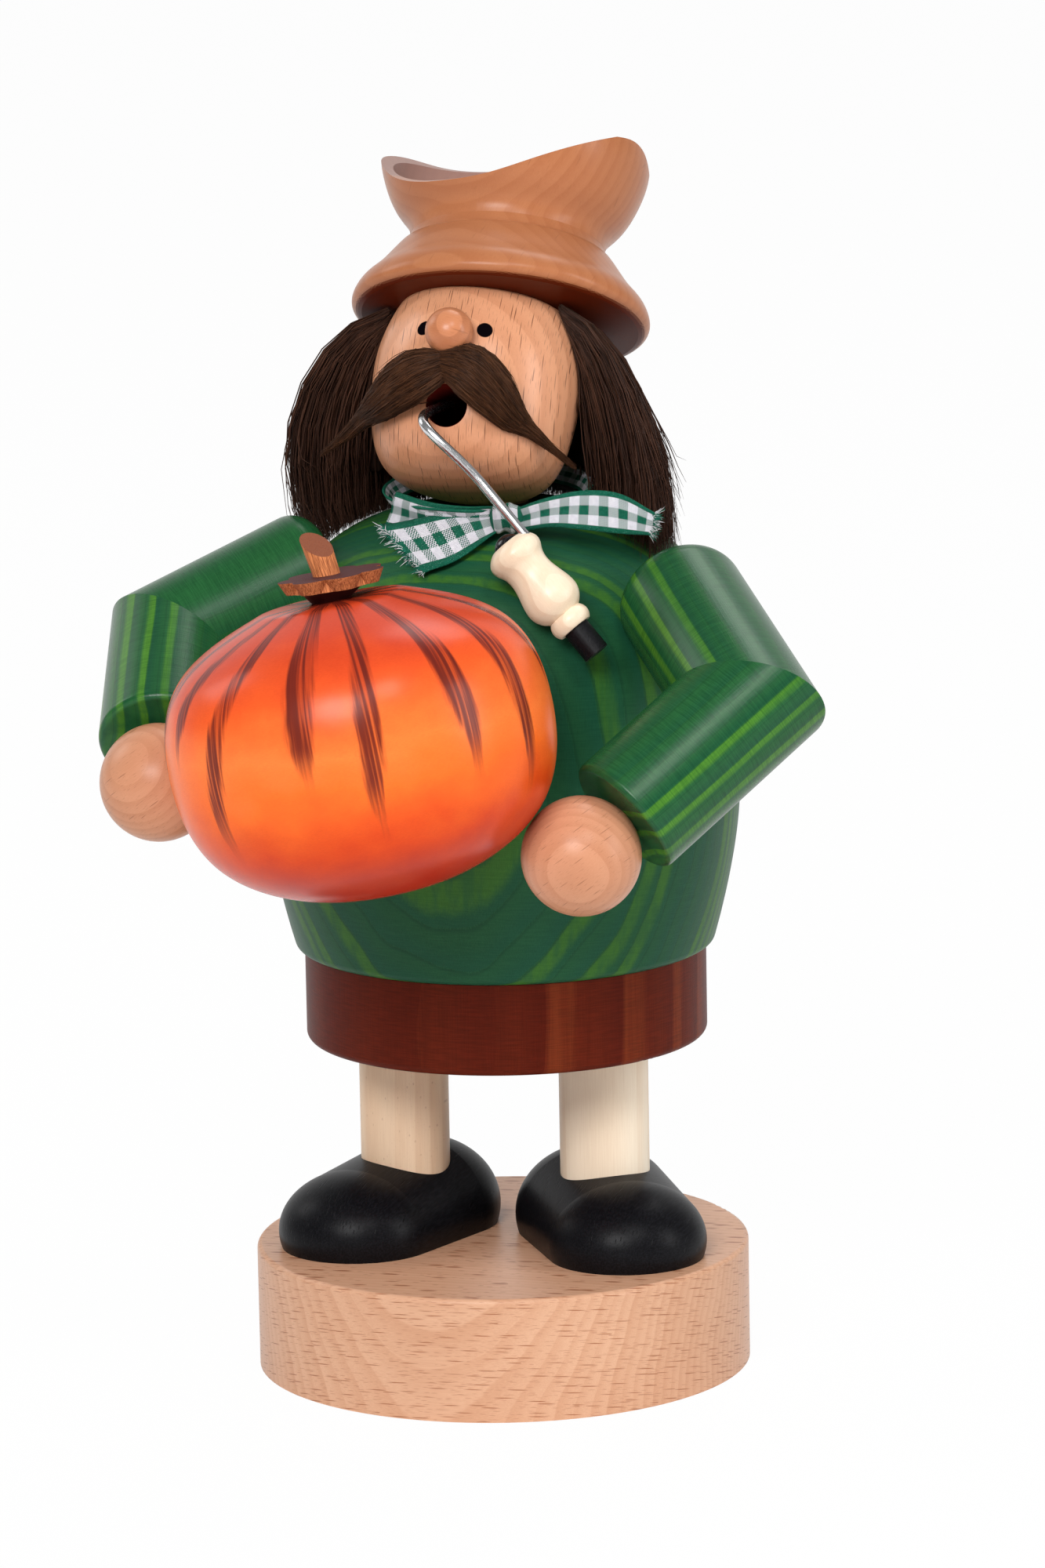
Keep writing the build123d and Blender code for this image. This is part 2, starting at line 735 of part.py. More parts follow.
# Hair: a strip from temple to temple round the back, which hangs down under the brim
hair_start = (cos(radians(hair_turn)), -sin(radians(hair_turn)), 0)
hair_frame = Plane(origin=at(hair_x, hair_y, 0), x_dir=hair_start, z_dir=(0, 0, 1))
hair_root = (hair_root_radius, hair_top)
hair_outline = scaled(hair_shares, hair_radius, hair_top - hair_bottom, hair_bottom)
with BuildPart() as hair:
    with BuildSketch(half(hair_frame)):
        with BuildLine():
            Spline(hair_root, *hair_outline)
            Polyline(hair_outline[-1], (hair_inner_radius, hair_bottom),
                     (hair_inner_radius, hair_bend_height), hair_root)
        make_face()
    revolve(axis=axis_of(hair_frame), revolution_arc=180 + hair_turn * 2)
    split(bisect_by=along(hat_frame, -rest_gap), keep=Keep.BOTTOM)
    add(head_room, mode=Mode.SUBTRACT)
save(hair, "hair")


# Neck ribbon: a slanted band under the head, with a knot and two ends
ribbon_frame = turned(
    at(0, ribbon_y, ribbon_height), (0, -sin(radians(ribbon_lean)), cos(radians(ribbon_lean)))
)


def make_tail(stations):
    """A hanging ribbon end: the surface between its upper and lower edges, made thick."""
    upper = Edge.make_spline([at(*station[0]) for station in stations])
    lower = Edge.make_spline([at(*station[1]) for station in stations])
    between = Face.make_surface_from_curves(upper, lower)
    with BuildPart() as tail:
        thicken(to_thicken=between, amount=tail_thick / 2, both=True)
    return tail.part


with BuildPart() as knot:
    with Locations(Location(at(*knot_place))):
        Box(knot_width, knot_depth, knot_height)
    fillet(knot.edges(), radius=knot_edge)

ribbon_fold = ribbon_thick / 2
ribbon_foot = ribbon_radius + ribbon_flare
with BuildPart() as neck_ribbon:
    with BuildSketch(half(ribbon_frame)):
        with BuildLine():
            Polyline(
                (ribbon_radius, 0), (ribbon_radius + ribbon_thick, ribbon_fold),
                (ribbon_foot, ribbon_fold - ribbon_width),
                (ribbon_foot - ribbon_thick, -ribbon_width), (ribbon_radius, 0),
            )
        make_face()
    revolve(axis=axis_of(ribbon_frame))
    add(knot.part)
    add(make_tail(right_tail))
    add(make_tail(left_tail))
save(neck_ribbon, "neck_ribbon")


# Pipe: the bowl hangs from a bent wire that plugs into the roof of the mouth
bowl_top = at(bowl_top_x, pipe_y, bowl_top_height)
bowl_axis = Vector(cos(radians(bowl_slope)), 0, -sin(radians(bowl_slope)))
bowl_frame = turned(bowl_top, bowl_axis)
wire_entry = bowl_top + Vector(sin(radians(bowl_slope)), 0, cos(radians(bowl_slope))) * wire_offset
flange_outline = scaled(bowl_flange_shares, bowl_flange_radius, bowl_length)
ring_outline = scaled(bowl_ring_shares, bowl_ring_radius, bowl_length)
waist_outline = [
    flange_outline[-1], (bowl_neck_radius, bowl_length * bowl_neck_share),
    (bowl_belly_radius, bowl_length * bowl_belly_share), ring_outline[0],
]
with BuildPart() as pipe_bowl:
    with BuildSketch(half(bowl_frame)):
        with BuildLine():
            Spline(*flange_outline)
            Spline(*waist_outline)
            ThreePointArc(*ring_outline)
            Polyline(ring_outline[-1], (0, bowl_length), (0, 0), flange_outline[0])
        make_face()
    revolve(axis=axis_of(bowl_frame))
    with BuildSketch(Plane(origin=wire_entry, z_dir=bowl_axis)):
        Circle(wire_radius + glue_gap)
    extrude(amount=wire_sink + glue_gap, mode=Mode.SUBTRACT)
save(pipe_bowl, "pipe_bowl")

cap_ball = (cap_radius**2 + cap_height**2) / (cap_height * 2)
with BuildPart() as pipe_cap:
    with Locations(Location(along(bowl_frame, cap_ball - cap_height).origin)):
        Sphere(cap_ball)
    split(bisect_by=bowl_frame, keep=Keep.BOTTOM)
save(pipe_cap, "pipe_cap")

with BuildPart() as pipe_foot:
    with BuildSketch(along(bowl_frame, bowl_length)):
        Circle(foot_radius)
    extrude(amount=foot_length)
save(pipe_foot, "pipe_foot")

wire_bend = at(pipe_x, pipe_bend_y, pipe_height)
wire_run = wire_entry - bowl_axis * wire_straight
with BuildPart() as pipe_stem:
    with BuildLine() as wire_line:
        Line(wire_seat.origin, wire_bend)
        Spline(wire_bend, wire_run, tangents=[(0, -1, 0), bowl_axis], tangent_scalars=wire_curl)
        Line(wire_run, wire_entry + bowl_axis * wire_sink)
    with BuildSketch(wire_seat):
        Circle(wire_radius)
    sweep(path=wire_line.wire())
save(pipe_stem, "pipe_stem")
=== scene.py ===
import math

import bpy
import numpy as np
from mathutils import Matrix, Vector
from mathutils.bvhtree import BVHTree


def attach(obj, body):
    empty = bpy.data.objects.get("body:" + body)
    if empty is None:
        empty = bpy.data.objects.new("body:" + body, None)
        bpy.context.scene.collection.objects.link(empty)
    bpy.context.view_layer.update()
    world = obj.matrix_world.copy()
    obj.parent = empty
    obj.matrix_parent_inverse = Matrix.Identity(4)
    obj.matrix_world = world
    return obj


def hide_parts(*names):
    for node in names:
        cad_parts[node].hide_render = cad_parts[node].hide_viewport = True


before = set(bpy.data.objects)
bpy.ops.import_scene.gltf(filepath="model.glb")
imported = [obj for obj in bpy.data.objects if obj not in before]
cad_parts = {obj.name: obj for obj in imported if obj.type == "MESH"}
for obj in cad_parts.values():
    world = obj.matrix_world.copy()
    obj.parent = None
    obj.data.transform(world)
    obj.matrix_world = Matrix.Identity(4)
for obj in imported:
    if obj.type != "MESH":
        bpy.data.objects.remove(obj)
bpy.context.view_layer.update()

MM = 0.001
rng = np.random.default_rng(11)
TINY = 1e-9


def shown(name, data):
    """An object in the scene that shows some data."""
    made = bpy.data.objects.new(name, data)
    bpy.context.collection.objects.link(made)
    return made


# Camera, fitted to the photo: its place in m and its axes in the row frame

PICTURE = (1333, 2000)
SENSOR_HEIGHT = 36.0
LENS = 159.912
CAMERA_AT = Vector((0.3581, -1.0401, 0.3083))
CAMERA_X = Vector((0.94786, 0.318148, -0.018503))
CAMERA_Y = Vector((-0.043397, 0.186377, 0.981519))
CAMERA_BACK = Vector((0.315717, -0.92954, 0.190466))


def make_camera():
    data = bpy.data.cameras.new("camera")
    data.sensor_fit = "VERTICAL"
    data.sensor_height = SENSOR_HEIGHT
    data.lens = LENS
    data.clip_start = 0.05
    data.clip_end = 60.0
    camera = shown("camera", data)
    turn = Matrix((CAMERA_X, CAMERA_Y, CAMERA_BACK)).transposed().to_4x4()
    camera.matrix_world = Matrix.Translation(CAMERA_AT) @ turn
    bpy.context.scene.camera = camera


def sight(column, row):
    """The direction in which the camera sees a pixel of the picture."""
    focal = LENS / SENSOR_HEIGHT * PICTURE[1]
    aside = (column - PICTURE[0] / 2) / focal
    up = (PICTURE[1] / 2 - row) / focal
    return (CAMERA_X * aside + CAMERA_Y * up - CAMERA_BACK).normalized()


make_camera()


# Node helpers

def metres(place):
    """A place in mm, given in m."""
    return tuple(MM * v for v in place)


class Nodes:
    """The node tree of a material or a world, emptied, and short ways to add to it."""

    def __init__(self, owner):
        owner.use_nodes = True
        self.tree = owner.node_tree
        self.tree.nodes.clear()

    def node(self, kind, **settings):
        made = self.tree.nodes.new(kind)
        for key, value in settings.items():
            setattr(made, key, value)
        return made

    def put(self, socket, value):
        if isinstance(value, bpy.types.NodeSocket):
            self.tree.links.new(value, socket)
        elif socket.type == "RGBA":
            socket.default_value = (*value, 1.0)
        else:
            socket.default_value = value

    def here(self):
        return self.node("ShaderNodeTexCoord").outputs["Object"]

    def surface(self, what):
        return self.node("ShaderNodeNewGeometry").outputs[what]

    def fill(self, made, *values):
        for socket, value in zip(made.inputs, values):
            self.put(socket, value)
        return made

    def math(self, kind, *values):
        return self.fill(self.node("ShaderNodeMath", operation=kind), *values).outputs[0]

    def times(self, *values):
        return self.math("MULTIPLY", *values)

    def plus(self, *values):
        return self.math("ADD", *values)

    def minus(self, *values):
        return self.math("SUBTRACT", *values)

    def over(self, *values):
        return self.math("DIVIDE", *values)

    def vector(self, kind, *values):
        made = self.fill(self.node("ShaderNodeVectorMath", operation=kind), *values)
        return made.outputs["Value" if kind in ("LENGTH", "DOT_PRODUCT", "DISTANCE") else "Vector"]

    def join(self, *parts):
        return self.fill(self.node("ShaderNodeCombineXYZ"), *parts).outputs[0]

    def mix(self, share, first, second, kind="MIX"):
        made = self.node("ShaderNodeMix", data_type="RGBA", blend_type=kind)
        self.put(made.inputs[0], share)
        self.put(made.inputs[6], first)
        self.put(made.inputs[7], second)
        return made.outputs[2]

    def ramp(self, share, *stops, kind="LINEAR"):
        made = self.node("ShaderNodeValToRGB")
        elements = made.color_ramp.elements
        made.color_ramp.interpolation = kind
        elements[0].position, elements[1].position = stops[0][0], stops[-1][0]
        for place, _ in stops[1:-1]:
            elements.new(place)
        for element, (_, color) in zip(elements, stops):
            element.color = (*color, 1.0)
        return self.fill(made, share).outputs[0]

    def span(self, value, low, high, first=0.0, last=1.0):
        made = self.node("ShaderNodeMapRange", interpolation_type="SMOOTHSTEP")
        return self.fill(made, value, low, high, first, last).outputs[0]

    def noise(self, place, detail=2.0, rough=0.5):
        made = self.node("ShaderNodeTexNoise")
        for key, value in (("Vector", place), ("Scale", 1.0), ("Detail", detail), ("Roughness", rough)):
            self.put(made.inputs[key], value)
        return made.outputs[0]

    def local(self, origin, along, ahead):
        """Places in mm from an origin: ahead, aside and along an axis."""
        along = Vector(along).normalized()
        ahead = Vector(ahead)
        ahead = (ahead - ahead.dot(along) * along).normalized()
        offset = self.vector("SUBTRACT", self.here(), metres(origin))
        return [self.vector("DOT_PRODUCT", offset, tuple(way / MM))
                for way in (ahead, along.cross(ahead), along)]

    def scaled(self, parts, *sizes):
        """The local places, each counted in its own size."""
        return self.vector("MULTIPLY", self.join(*parts), tuple(1.0 / size for size in sizes))

    def bump(self, height, distance, strength):
        """A normal from a height that counts for a distance in mm."""
        made = self.node("ShaderNodeBump")
        self.put(made.inputs["Height"], height)
        made.inputs["Distance"].default_value = distance * MM
        made.inputs["Strength"].default_value = strength
        return made.outputs[0]

    def flecks(self, parts, cells, sizes, share):
        """Short dark marks, one in some of the cells, as rays and pores show on wood."""
        place = self.scaled(parts, *cells)
        cell = self.node("ShaderNodeTexVoronoi")
        self.put(cell.inputs["Vector"], place)
        self.put(cell.inputs["Scale"], 1.0)
        offset = self.vector("SUBTRACT", place, cell.outputs["Position"])
        in_sizes = self.vector("MULTIPLY", offset, tuple(a / b for a, b in zip(cells, sizes)))
        chance = self.node("ShaderNodeSeparateColor")
        self.put(chance.inputs[0], cell.outputs["Color"])
        shown = self.span(chance.outputs[0], share + 0.1, share - 0.1)
        return self.times(self.span(self.vector("LENGTH", in_sizes), 1.0, 0.4), shown)


class Finish(Nodes):
    """A material with one shader."""

    def __init__(self, name, **settings):
        self.material = bpy.data.materials.new(name)
        super().__init__(self.material)
        self.shader = self.node("ShaderNodeBsdfPrincipled")
        self.put(self.node("ShaderNodeOutputMaterial").inputs["Surface"], self.shader.outputs[0])
        self.set(**settings)

    def set(self, **settings):
        names = dict(color="Base Color", rough="Roughness", gloss="Specular IOR Level", metal="Metallic",
                     normal="Normal")
        for key, value in settings.items():
            self.put(self.shader.inputs[names[key]], value)


# Woods: cells of their patterns are in mm, ahead, aside and along the fibres

WAVE_CELL = (22.0, 22.0, 70.0)
CLOUD_CELL = (14.0, 14.0, 34.0)
STREAK_CELL = (1.6, 1.6, 34.0)
TOOL_CELL = (3.5, 3.5, 0.2)
FIBRE_BREADTH = 0.14
FLECK_CELL, SMALL_FLECK_CELL = (3.0, 1.1, 4.4), (1.5, 0.5, 1.7)
FLECK_DEPTH, SMALL_FLECK_DEPTH = 2.4, 1.2
# tints of a pattern's low and high places
FIBRE_TINTS = (0.25, (0.86, 0.8, 0.76)), (0.75, (1.08, 1.12, 1.15))
CLOUD_TINTS = (0.3, (0.86, 0.78, 0.72)), (0.7, (1.06, 1.12, 1.16))
STAINED_TINTS = (0.25, (0.8, 0.84, 0.82)), (0.75, (1.16, 1.13, 1.12))
TOOL_TINTS = (0.35, (0.6, 0.7, 0.7)), (0.65, (1.4, 1.22, 1.15))


def grain(f, parts, pith, ring, wobble, fibre=6.0):
    """Growth rings round the pith: where in its ring a place lies, the ring's own tone, and fine fibre."""
    wave = f.noise(f.scaled(parts, *WAVE_CELL))
    reach = f.vector("LENGTH", f.join(f.minus(parts[0], pith[0]), f.minus(parts[1], pith[1]), 0.0))
    count = f.over(f.plus(reach, f.times(wave, wobble)), ring)
    own = f.node("ShaderNodeTexWhiteNoise", noise_dimensions="1D")
    f.put(own.inputs["W"], f.math("FLOOR", count))
    fine = f.noise(f.scaled(parts, FIBRE_BREADTH, FIBRE_BREADTH, fibre), detail=3.0, rough=0.6)
    return f.math("FRACT", count), own.outputs["Value"], fine


def clear_wood(name, base, origin, along, ahead, pith, ring, dark=0.88, fleck=(0.55, 0.6),
               fleck_color=(0.16, 0.055, 0.025), fleck_size=(0.16, 1.9), rough=0.34, gloss=0.22, cloud=0.35,
               fibre=0.4, paint=None):
    """Clear-lacquered light wood: soft rings, fine fibre and short dark flecks along the grain."""
    f = Finish(name, rough=rough, gloss=gloss)
    parts = f.local(origin, along, ahead)
    within, own, fine = grain(f, parts, pith, ring, 4.0)
    late = f.times(f.span(within, 0.2, 0.9), f.span(within, 1.0, 0.93))
    shade = f.plus(f.times(late, 0.6), f.times(own, 0.4))
    early_color = tuple(min(1.0, c * 1.04) for c in base)
    late_color = tuple(c * tint for c, tint in zip(base, (dark, dark * 0.93, dark * 0.88)))
    color = f.ramp(shade, (0.0, early_color), (1.0, late_color))
    color = f.mix(fibre, color, f.ramp(fine, *FIBRE_TINTS), "MULTIPLY")
    patch = f.noise(f.scaled(parts, *CLOUD_CELL), detail=1.0)
    color = f.mix(cloud, color, f.ramp(patch, *CLOUD_TINTS), "MULTIPLY")
    if fleck:
        share, strength = fleck
        wide, tall = fleck_size
        marks = f.flecks(parts, FLECK_CELL, (FLECK_DEPTH, wide, tall), share)
        small = f.flecks(parts, SMALL_FLECK_CELL, (SMALL_FLECK_DEPTH, wide * 0.6, tall * 0.36), 0.7)
        color = f.mix(f.times(marks, strength), color, fleck_color)
        color = f.mix(f.times(small, strength * 0.5), color, fleck_color)
    if paint:
        color = paint(f, color)
    f.set(color=color, normal=f.bump(fine, 0.02, 0.3))
    return f.material


def stained_wood(name, deep, middle, bright, origin, along, ahead, pith, ring, wobble, rough, gloss,
                 bright_share, strength, tool, line=0.35):
    """Stained and lacquered softer wood: the rings take the stain unevenly and show as stripes."""
    f = Finish(name, rough=rough, gloss=gloss)
    parts = f.local(origin, along, ahead)
    within, own, fine = grain(f, parts, pith, ring, wobble, fibre=7.0)
    base = f.mix(f.plus(f.times(f.span(within, 0.1, 0.8), 0.4), f.times(own, 0.6)), deep, middle)
    ragged = f.plus(within, f.times(f.minus(fine, 0.5), 0.22))
    pick = f.span(own, 0.95 - bright_share, 1.05 - bright_share)
    pick = f.times(pick, f.times(f.span(ragged, 0.12, 0.5), f.span(ragged, 0.98, 0.86)))
    streak = f.noise(f.scaled(parts, *STREAK_CELL))
    pick = f.times(pick, f.span(streak, 0.3, 0.6, 0.45, 1.0))
    color = f.mix(f.times(pick, strength), base, bright)
    edge = f.times(f.span(ragged, 0.86, 0.94), f.span(ragged, 1.0, 0.97))
    color = f.mix(f.times(edge, line), color, tuple(c * 0.5 for c in deep))
    color = f.mix(0.7, color, f.ramp(fine, *STAINED_TINTS), "MULTIPLY")
    turned = f.noise(f.scaled(parts, *TOOL_CELL))
    color = f.mix(tool, color, f.ramp(turned, *TOOL_TINTS), "MULTIPLY")
    f.set(color=color, normal=f.bump(f.plus(fine, f.times(turned, 0.8)), 0.035, 0.5))
    return f.material


# Finishes of the rigid pieces

def finish(material, *nodes):
    for node in nodes:
        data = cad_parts[node].data
        data.materials.clear()
        data.materials.append(material)


def tree_of(node):
    """A search tree of a node's surface at rest, in the row frame."""
    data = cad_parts[node].data
    faces = [tuple(p.vertices) for p in data.polygons]
    return BVHTree.FromPolygons([v.co.copy() for v in data.vertices], faces)


# places in mm in the row frame
UPRIGHT, FORWARD = (0.0, 0.0, 1.0), (0.0, -1.0, 0.0)
FIGURE_AT = (1.3, 0.4)
HEAD_AT = (0.4, -6.6, 158.0)
NOSE_AT = (1.3, -21.0, 170.9)
MOUTH_AT, MOUTH_AXIS, MOUTH_RADIUS = (1.3, -23.8, 159.9), (0.0, -0.891, 0.454), 3.34
BOWL_AT, BOWL_AXIS = (13.4, -30.8, 139.0), (0.656, 0.0, -0.755)
# the eyes' pixels in the photo, and where an eye's paint ends and is full, in mm
EYES_SEEN = ((618.4, 421.0), (541.0, 418.5))
EYE_EDGE = (1.32, 1.2)
BEECH = (0.66, 0.31, 0.17)
PALE_BEECH = (0.64, 0.37, 0.235)
MAPLE = (0.86, 0.64, 0.45)
PALE_LEG = (0.9, 0.78, 0.62)
PALE_BOWL = (0.9, 0.76, 0.58)

head_tree = tree_of("head")
eyes = [tuple(head_tree.ray_cast(CAMERA_AT, sight(*seen))[0]) for seen in EYES_SEEN]


def painted_face(f, color):
    """Painted dots for eyes, and the mouth's bore in dark red, with painted shade that deepens inwards."""
    ahead, aside, out = f.local(MOUTH_AT, MOUTH_AXIS, (1.0, 0.0, 0.0))
    reach = f.vector("LENGTH", f.join(ahead, aside, 0.0))
    bore = f.times(f.math("LESS_THAN", reach, MOUTH_RADIUS), f.math("LESS_THAN", out, 0.6))
    # painted shade: the bore's dark red darkens to near black deeper in
    color = f.mix(bore, color, f.mix(f.span(out, -0.5, -6.0), (0.14, 0.012, 0.008), (0.02, 0.001, 0.001)))
    bare = f.minus(1.0, bore)
    place = f.here()
    for spot in eyes:
        dot = f.span(f.vector("DISTANCE", place, spot), *metres(EYE_EDGE))
        color = f.mix(dot, color, (0.003, 0.002, 0.003))
        bare = f.times(bare, f.minus(1.0, dot))
    f.set(gloss=f.times(bare, 0.32))
    return color


finish(clear_wood(
    "head_beech", BEECH, HEAD_AT, (0.03, 0.2, 0.98), (0.15, -1.0, 0.0), (-60.0, 10.0), ring=2.6,
    fleck=(0.7, 0.85), fleck_color=(0.1, 0.03, 0.014), fleck_size=(0.085, 2.2), rough=0.31,
    paint=painted_face), "head")
finish(clear_wood(
    "nose_beech", (0.56, 0.22, 0.105), NOSE_AT, (0.9, 0.2, -0.25), (0.0, -1.0, 0.3), (-9.0, 1.0),
    ring=1.3, dark=0.78, fleck=(0.2, 0.3), rough=0.28, gloss=0.26), "nose")
finish(clear_wood(
    "hand_beech", (0.57, 0.27, 0.155), (0.0, -50.0, 105.0), (0.75, 0.1, 0.55), (0.3, -1.0, 0.2),
    (-50.0, 14.0), ring=1.3, dark=0.91, fleck=(0.4, 0.5), fleck_size=(0.1, 1.2)), "left_hand",
    "right_hand")
finish(clear_wood(
    "disc_beech", PALE_BEECH, (0.0, 0.0, 10.0), (1.0, 0.04, 0.02), (0.0, -1.0, 0.2), (-64.0, 6.0),
    ring=1.5, dark=0.94, fleck=(0.8, 0.85), fleck_color=(0.3, 0.1, 0.04), fleck_size=(0.11, 2.0),
    rough=0.36, cloud=0.2, fibre=0.55), "base_disc")
finish(clear_wood(
    "dowel_beech", PALE_BEECH, (0.0, 0.0, 120.0), UPRIGHT, FORWARD, (-20.0, 6.0), ring=2.2, rough=0.5),
    "shoulder_dowels", "elbow_dowels", "wrist_dowels", "pumpkin_dowel", "neck_tube", "hat_dowel")
finish(clear_wood(
    "leg_maple", MAPLE, (0.0, 0.0, 40.0), UPRIGHT, FORWARD, (-16.0, 5.0), ring=2.6, dark=0.94,
    fleck=(0.6, 0.35), fleck_color=(0.45, 0.22, 0.12), fleck_size=(0.14, 0.3), rough=0.42, gloss=0.18),
    "right_leg")
finish(clear_wood(
    "leg_pale", PALE_LEG, (0.0, 0.0, 40.0), UPRIGHT, FORWARD, (-40.0, 9.0), ring=3.1, dark=0.95,
    fleck=None, rough=0.42, gloss=0.18), "left_leg")
finish(clear_wood(
    "bowl_maple", PALE_BOWL, BOWL_AT, BOWL_AXIS, (0.3, -1.0, 0.2), (-14.0, 5.0), ring=1.4, dark=0.93,
    fleck=None, rough=0.3, gloss=0.3), "pipe_bowl")

HAT_AT = (1.3, 3.5, 169.0)
HAT_AXIS = (-0.0436, 0.4613, 0.8862)
# where each of the hat's masks starts and is full, in mm up and across its axis
UNDERSIDE, CROWN_FLOOR, CROWN_FLOOR_TOP, CROWN_REACH = (2.4, 1.8), (15.2, 15.8), (17.5, 16.8), (13.4, 12.8)


def hat_sides(f, color):
    """The underside gets a dark brown painted shade, and the hollow of the crown is bare, with a greyer
    painted shade.
    """
    ahead, aside, up = f.local(HAT_AT, HAT_AXIS, FORWARD)
    facing = f.surface("True Normal")
    down = f.vector("DOT_PRODUCT", facing, HAT_AXIS)
    under = f.times(f.span(down, -0.8, -0.93), f.span(up, *UNDERSIDE))
    # painted shade: the underside, which faces down, is darkened to a deep brown
    painted_under_shade = f.mix(0.55, (0.1, 0.018, 0.005), f.mix(1.0, (0.22, 0.05, 0.02), color, "MULTIPLY"))
    color = f.mix(under, color, painted_under_shade)
    place = f.vector("SUBTRACT", f.here(), metres(HAT_AT))
    risen = f.times(up, MM)
    flat = f.vector("SUBTRACT", place, f.vector("MULTIPLY", f.join(risen, risen, risen), HAT_AXIS))
    inward = f.vector("DOT_PRODUCT", facing, f.vector("NORMALIZE", flat))
    reach = f.vector("LENGTH", f.join(ahead, aside, 0.0))
    over_floor = f.span(up, *CROWN_FLOOR)
    wall = f.times(over_floor, f.span(inward, 0.0, -0.1))
    floor = f.times(f.span(up, *CROWN_FLOOR_TOP), f.times(over_floor, f.span(reach, *CROWN_REACH)))
    inside = f.math("MAXIMUM", wall, floor)
    f.set(gloss=f.span(f.math("MAXIMUM", inside, under), 0.0, 1.0, 0.2, 0.04))
    # painted shade: the hollow of the crown is greyed
    return f.mix(inside, color, f.mix(0.35, (0.34, 0.25, 0.24), color))


finish(clear_wood(
    "hat_wood", (0.42, 0.16, 0.069), HAT_AT, (0.35, 0.45, 0.82), (0.2, -1.0, 0.3), (-46.0, 20.0),
    ring=2.0, dark=0.93, fleck=(0.2, 0.25), fleck_size=(0.1, 1.3), rough=0.3, cloud=0.25,
    paint=hat_sides), "hat")

# each stain on its dark, its middle and its bright rings
LEAF_GREEN = ((0.008, 0.07, 0.028), (0.016, 0.105, 0.026), (0.06, 0.2, 0.018))
COAT_GREEN = ((0.01, 0.074, 0.04), (0.017, 0.092, 0.03), (0.052, 0.165, 0.016))
TROUSER_RED = ((0.085, 0.009, 0.003), (0.12, 0.016, 0.005), (0.24, 0.05, 0.014))
RIGHT_ELBOW, LEFT_ELBOW = (-42.5, -30.8, 121.6), (53.7, -36.2, 116.6)
# each arm piece: where its axis starts and ends, and the way its pith's place is counted
ARMS = (("right_upper_arm", (-21.1, -15.5, 132.8), RIGHT_ELBOW, (0.5, 0.1, 0.85)),
        ("right_forearm", RIGHT_ELBOW, (-37.05, -50.1, 109.2), (0.95, 0.3, 0.1)),
        ("left_upper_arm", (35.0, -14.3, 130.7), LEFT_ELBOW, (0.5, 0.35, 0.8)),
        ("left_forearm", LEFT_ELBOW, (38.5, -52.15, 101.25), (-0.4, 0.25, 0.8)))

finish(stained_wood(
    "jacket_green", *COAT_GREEN, (*FIGURE_AT, 100.0), (0.02, 0.05, 1.0), (0.1, -1.0, 0.0), (-58.0, 2.0),
    ring=2.0, wobble=5.0, bright_share=0.6, strength=0.65, tool=0.25, gloss=0.12, rough=0.4), "jacket")
for node, start, end, ahead in ARMS:
    finish(stained_wood(
        f"{node}_green", *LEAF_GREEN, start, Vector(end) - Vector(start), ahead, (-34.0, 9.0), ring=1.9,
        wobble=3.0, bright_share=0.5, strength=0.85, line=0.3, tool=0.6, gloss=0.24, rough=0.27), node)
finish(stained_wood(
    "trousers_red", *TROUSER_RED, (*FIGURE_AT, 60.0), UPRIGHT, (-0.3, -1.0, 0.0), (-64.0, 8.0), ring=4.6,
    wobble=9.0, bright_share=0.4, strength=0.35, line=0.1, tool=0.35, gloss=0.06, rough=0.42), "trousers")


def painted_black(name, rough, gloss):
    """Black paint with fine cracks along the wood beneath."""
    f = Finish(name, rough=rough, gloss=gloss)
    parts = f.local((0.0, 0.0, 20.0), (0.1, 1.0, 0.1), UPRIGHT)
    fine = f.noise(f.scaled(parts, 0.25, 0.25, 3.0), detail=3.0)
    crack = f.flecks(parts, (0.9, 0.7, 3.0), (0.5, 0.09, 1.5), 0.5)
    color = f.mix(f.span(fine, 0.35, 0.7), (0.003, 0.003, 0.004), (0.008, 0.008, 0.01))
    color = f.mix(f.times(crack, 0.5), color, (0.002, 0.002, 0.002))
    f.set(color=color, normal=f.bump(f.minus(f.times(fine, 0.4), crack), 0.05, 0.6))
    return f.material


finish(painted_black("shoe_black", 0.38, 0.1), "right_shoe", "left_shoe")
finish(painted_black("foot_black", 0.42, 0.15), "pipe_foot")
finish(painted_black("cap_black", 0.12, 0.4), "pipe_cap")


def steel(name, rough, origin, along):
    """Bright steel with fine drawn lines."""
    f = Finish(name, metal=1.0)
    parts = f.local(origin, along, FORWARD)
    fine = f.noise(f.scaled(parts, 0.12, 0.12, 4.0))
    f.set(color=f.mix(fine, (0.62, 0.63, 0.65), (0.86, 0.86, 0.86)),
          rough=f.span(fine, 0.2, 0.8, rough * 0.8, rough * 1.3), normal=f.bump(fine, 0.01, 0.3))
    return f.material


finish(steel("wire_steel", 0.22, (0.0, -27.0, 150.0), (0.7, 0.0, -0.7)), "pipe_stem")
finish(steel("plate_steel", 0.38, (*FIGURE_AT, 76.0), (1.0, 0.0, 0.0)), "cone_plate", "plate_nails")

PUMPKIN_AT = (1.8, -66.35, 113.9)
PUMPKIN_AXIS = (-0.193, -0.004, 0.981)
# its lacquer from 24 mm under its middle to 24 mm over it
PUMPKIN_HALF = 24.0
PUMPKIN_TINTS = ((0.0, (0.44, 0.022, 0.008)), (0.16, (0.66, 0.058, 0.007)), (0.4, (0.88, 0.142, 0.016)),
                 (0.6, (0.92, 0.185, 0.036)), (0.82, (0.78, 0.095, 0.018)), (0.97, (0.56, 0.05, 0.014)))
STREAK_TOP = 22.4
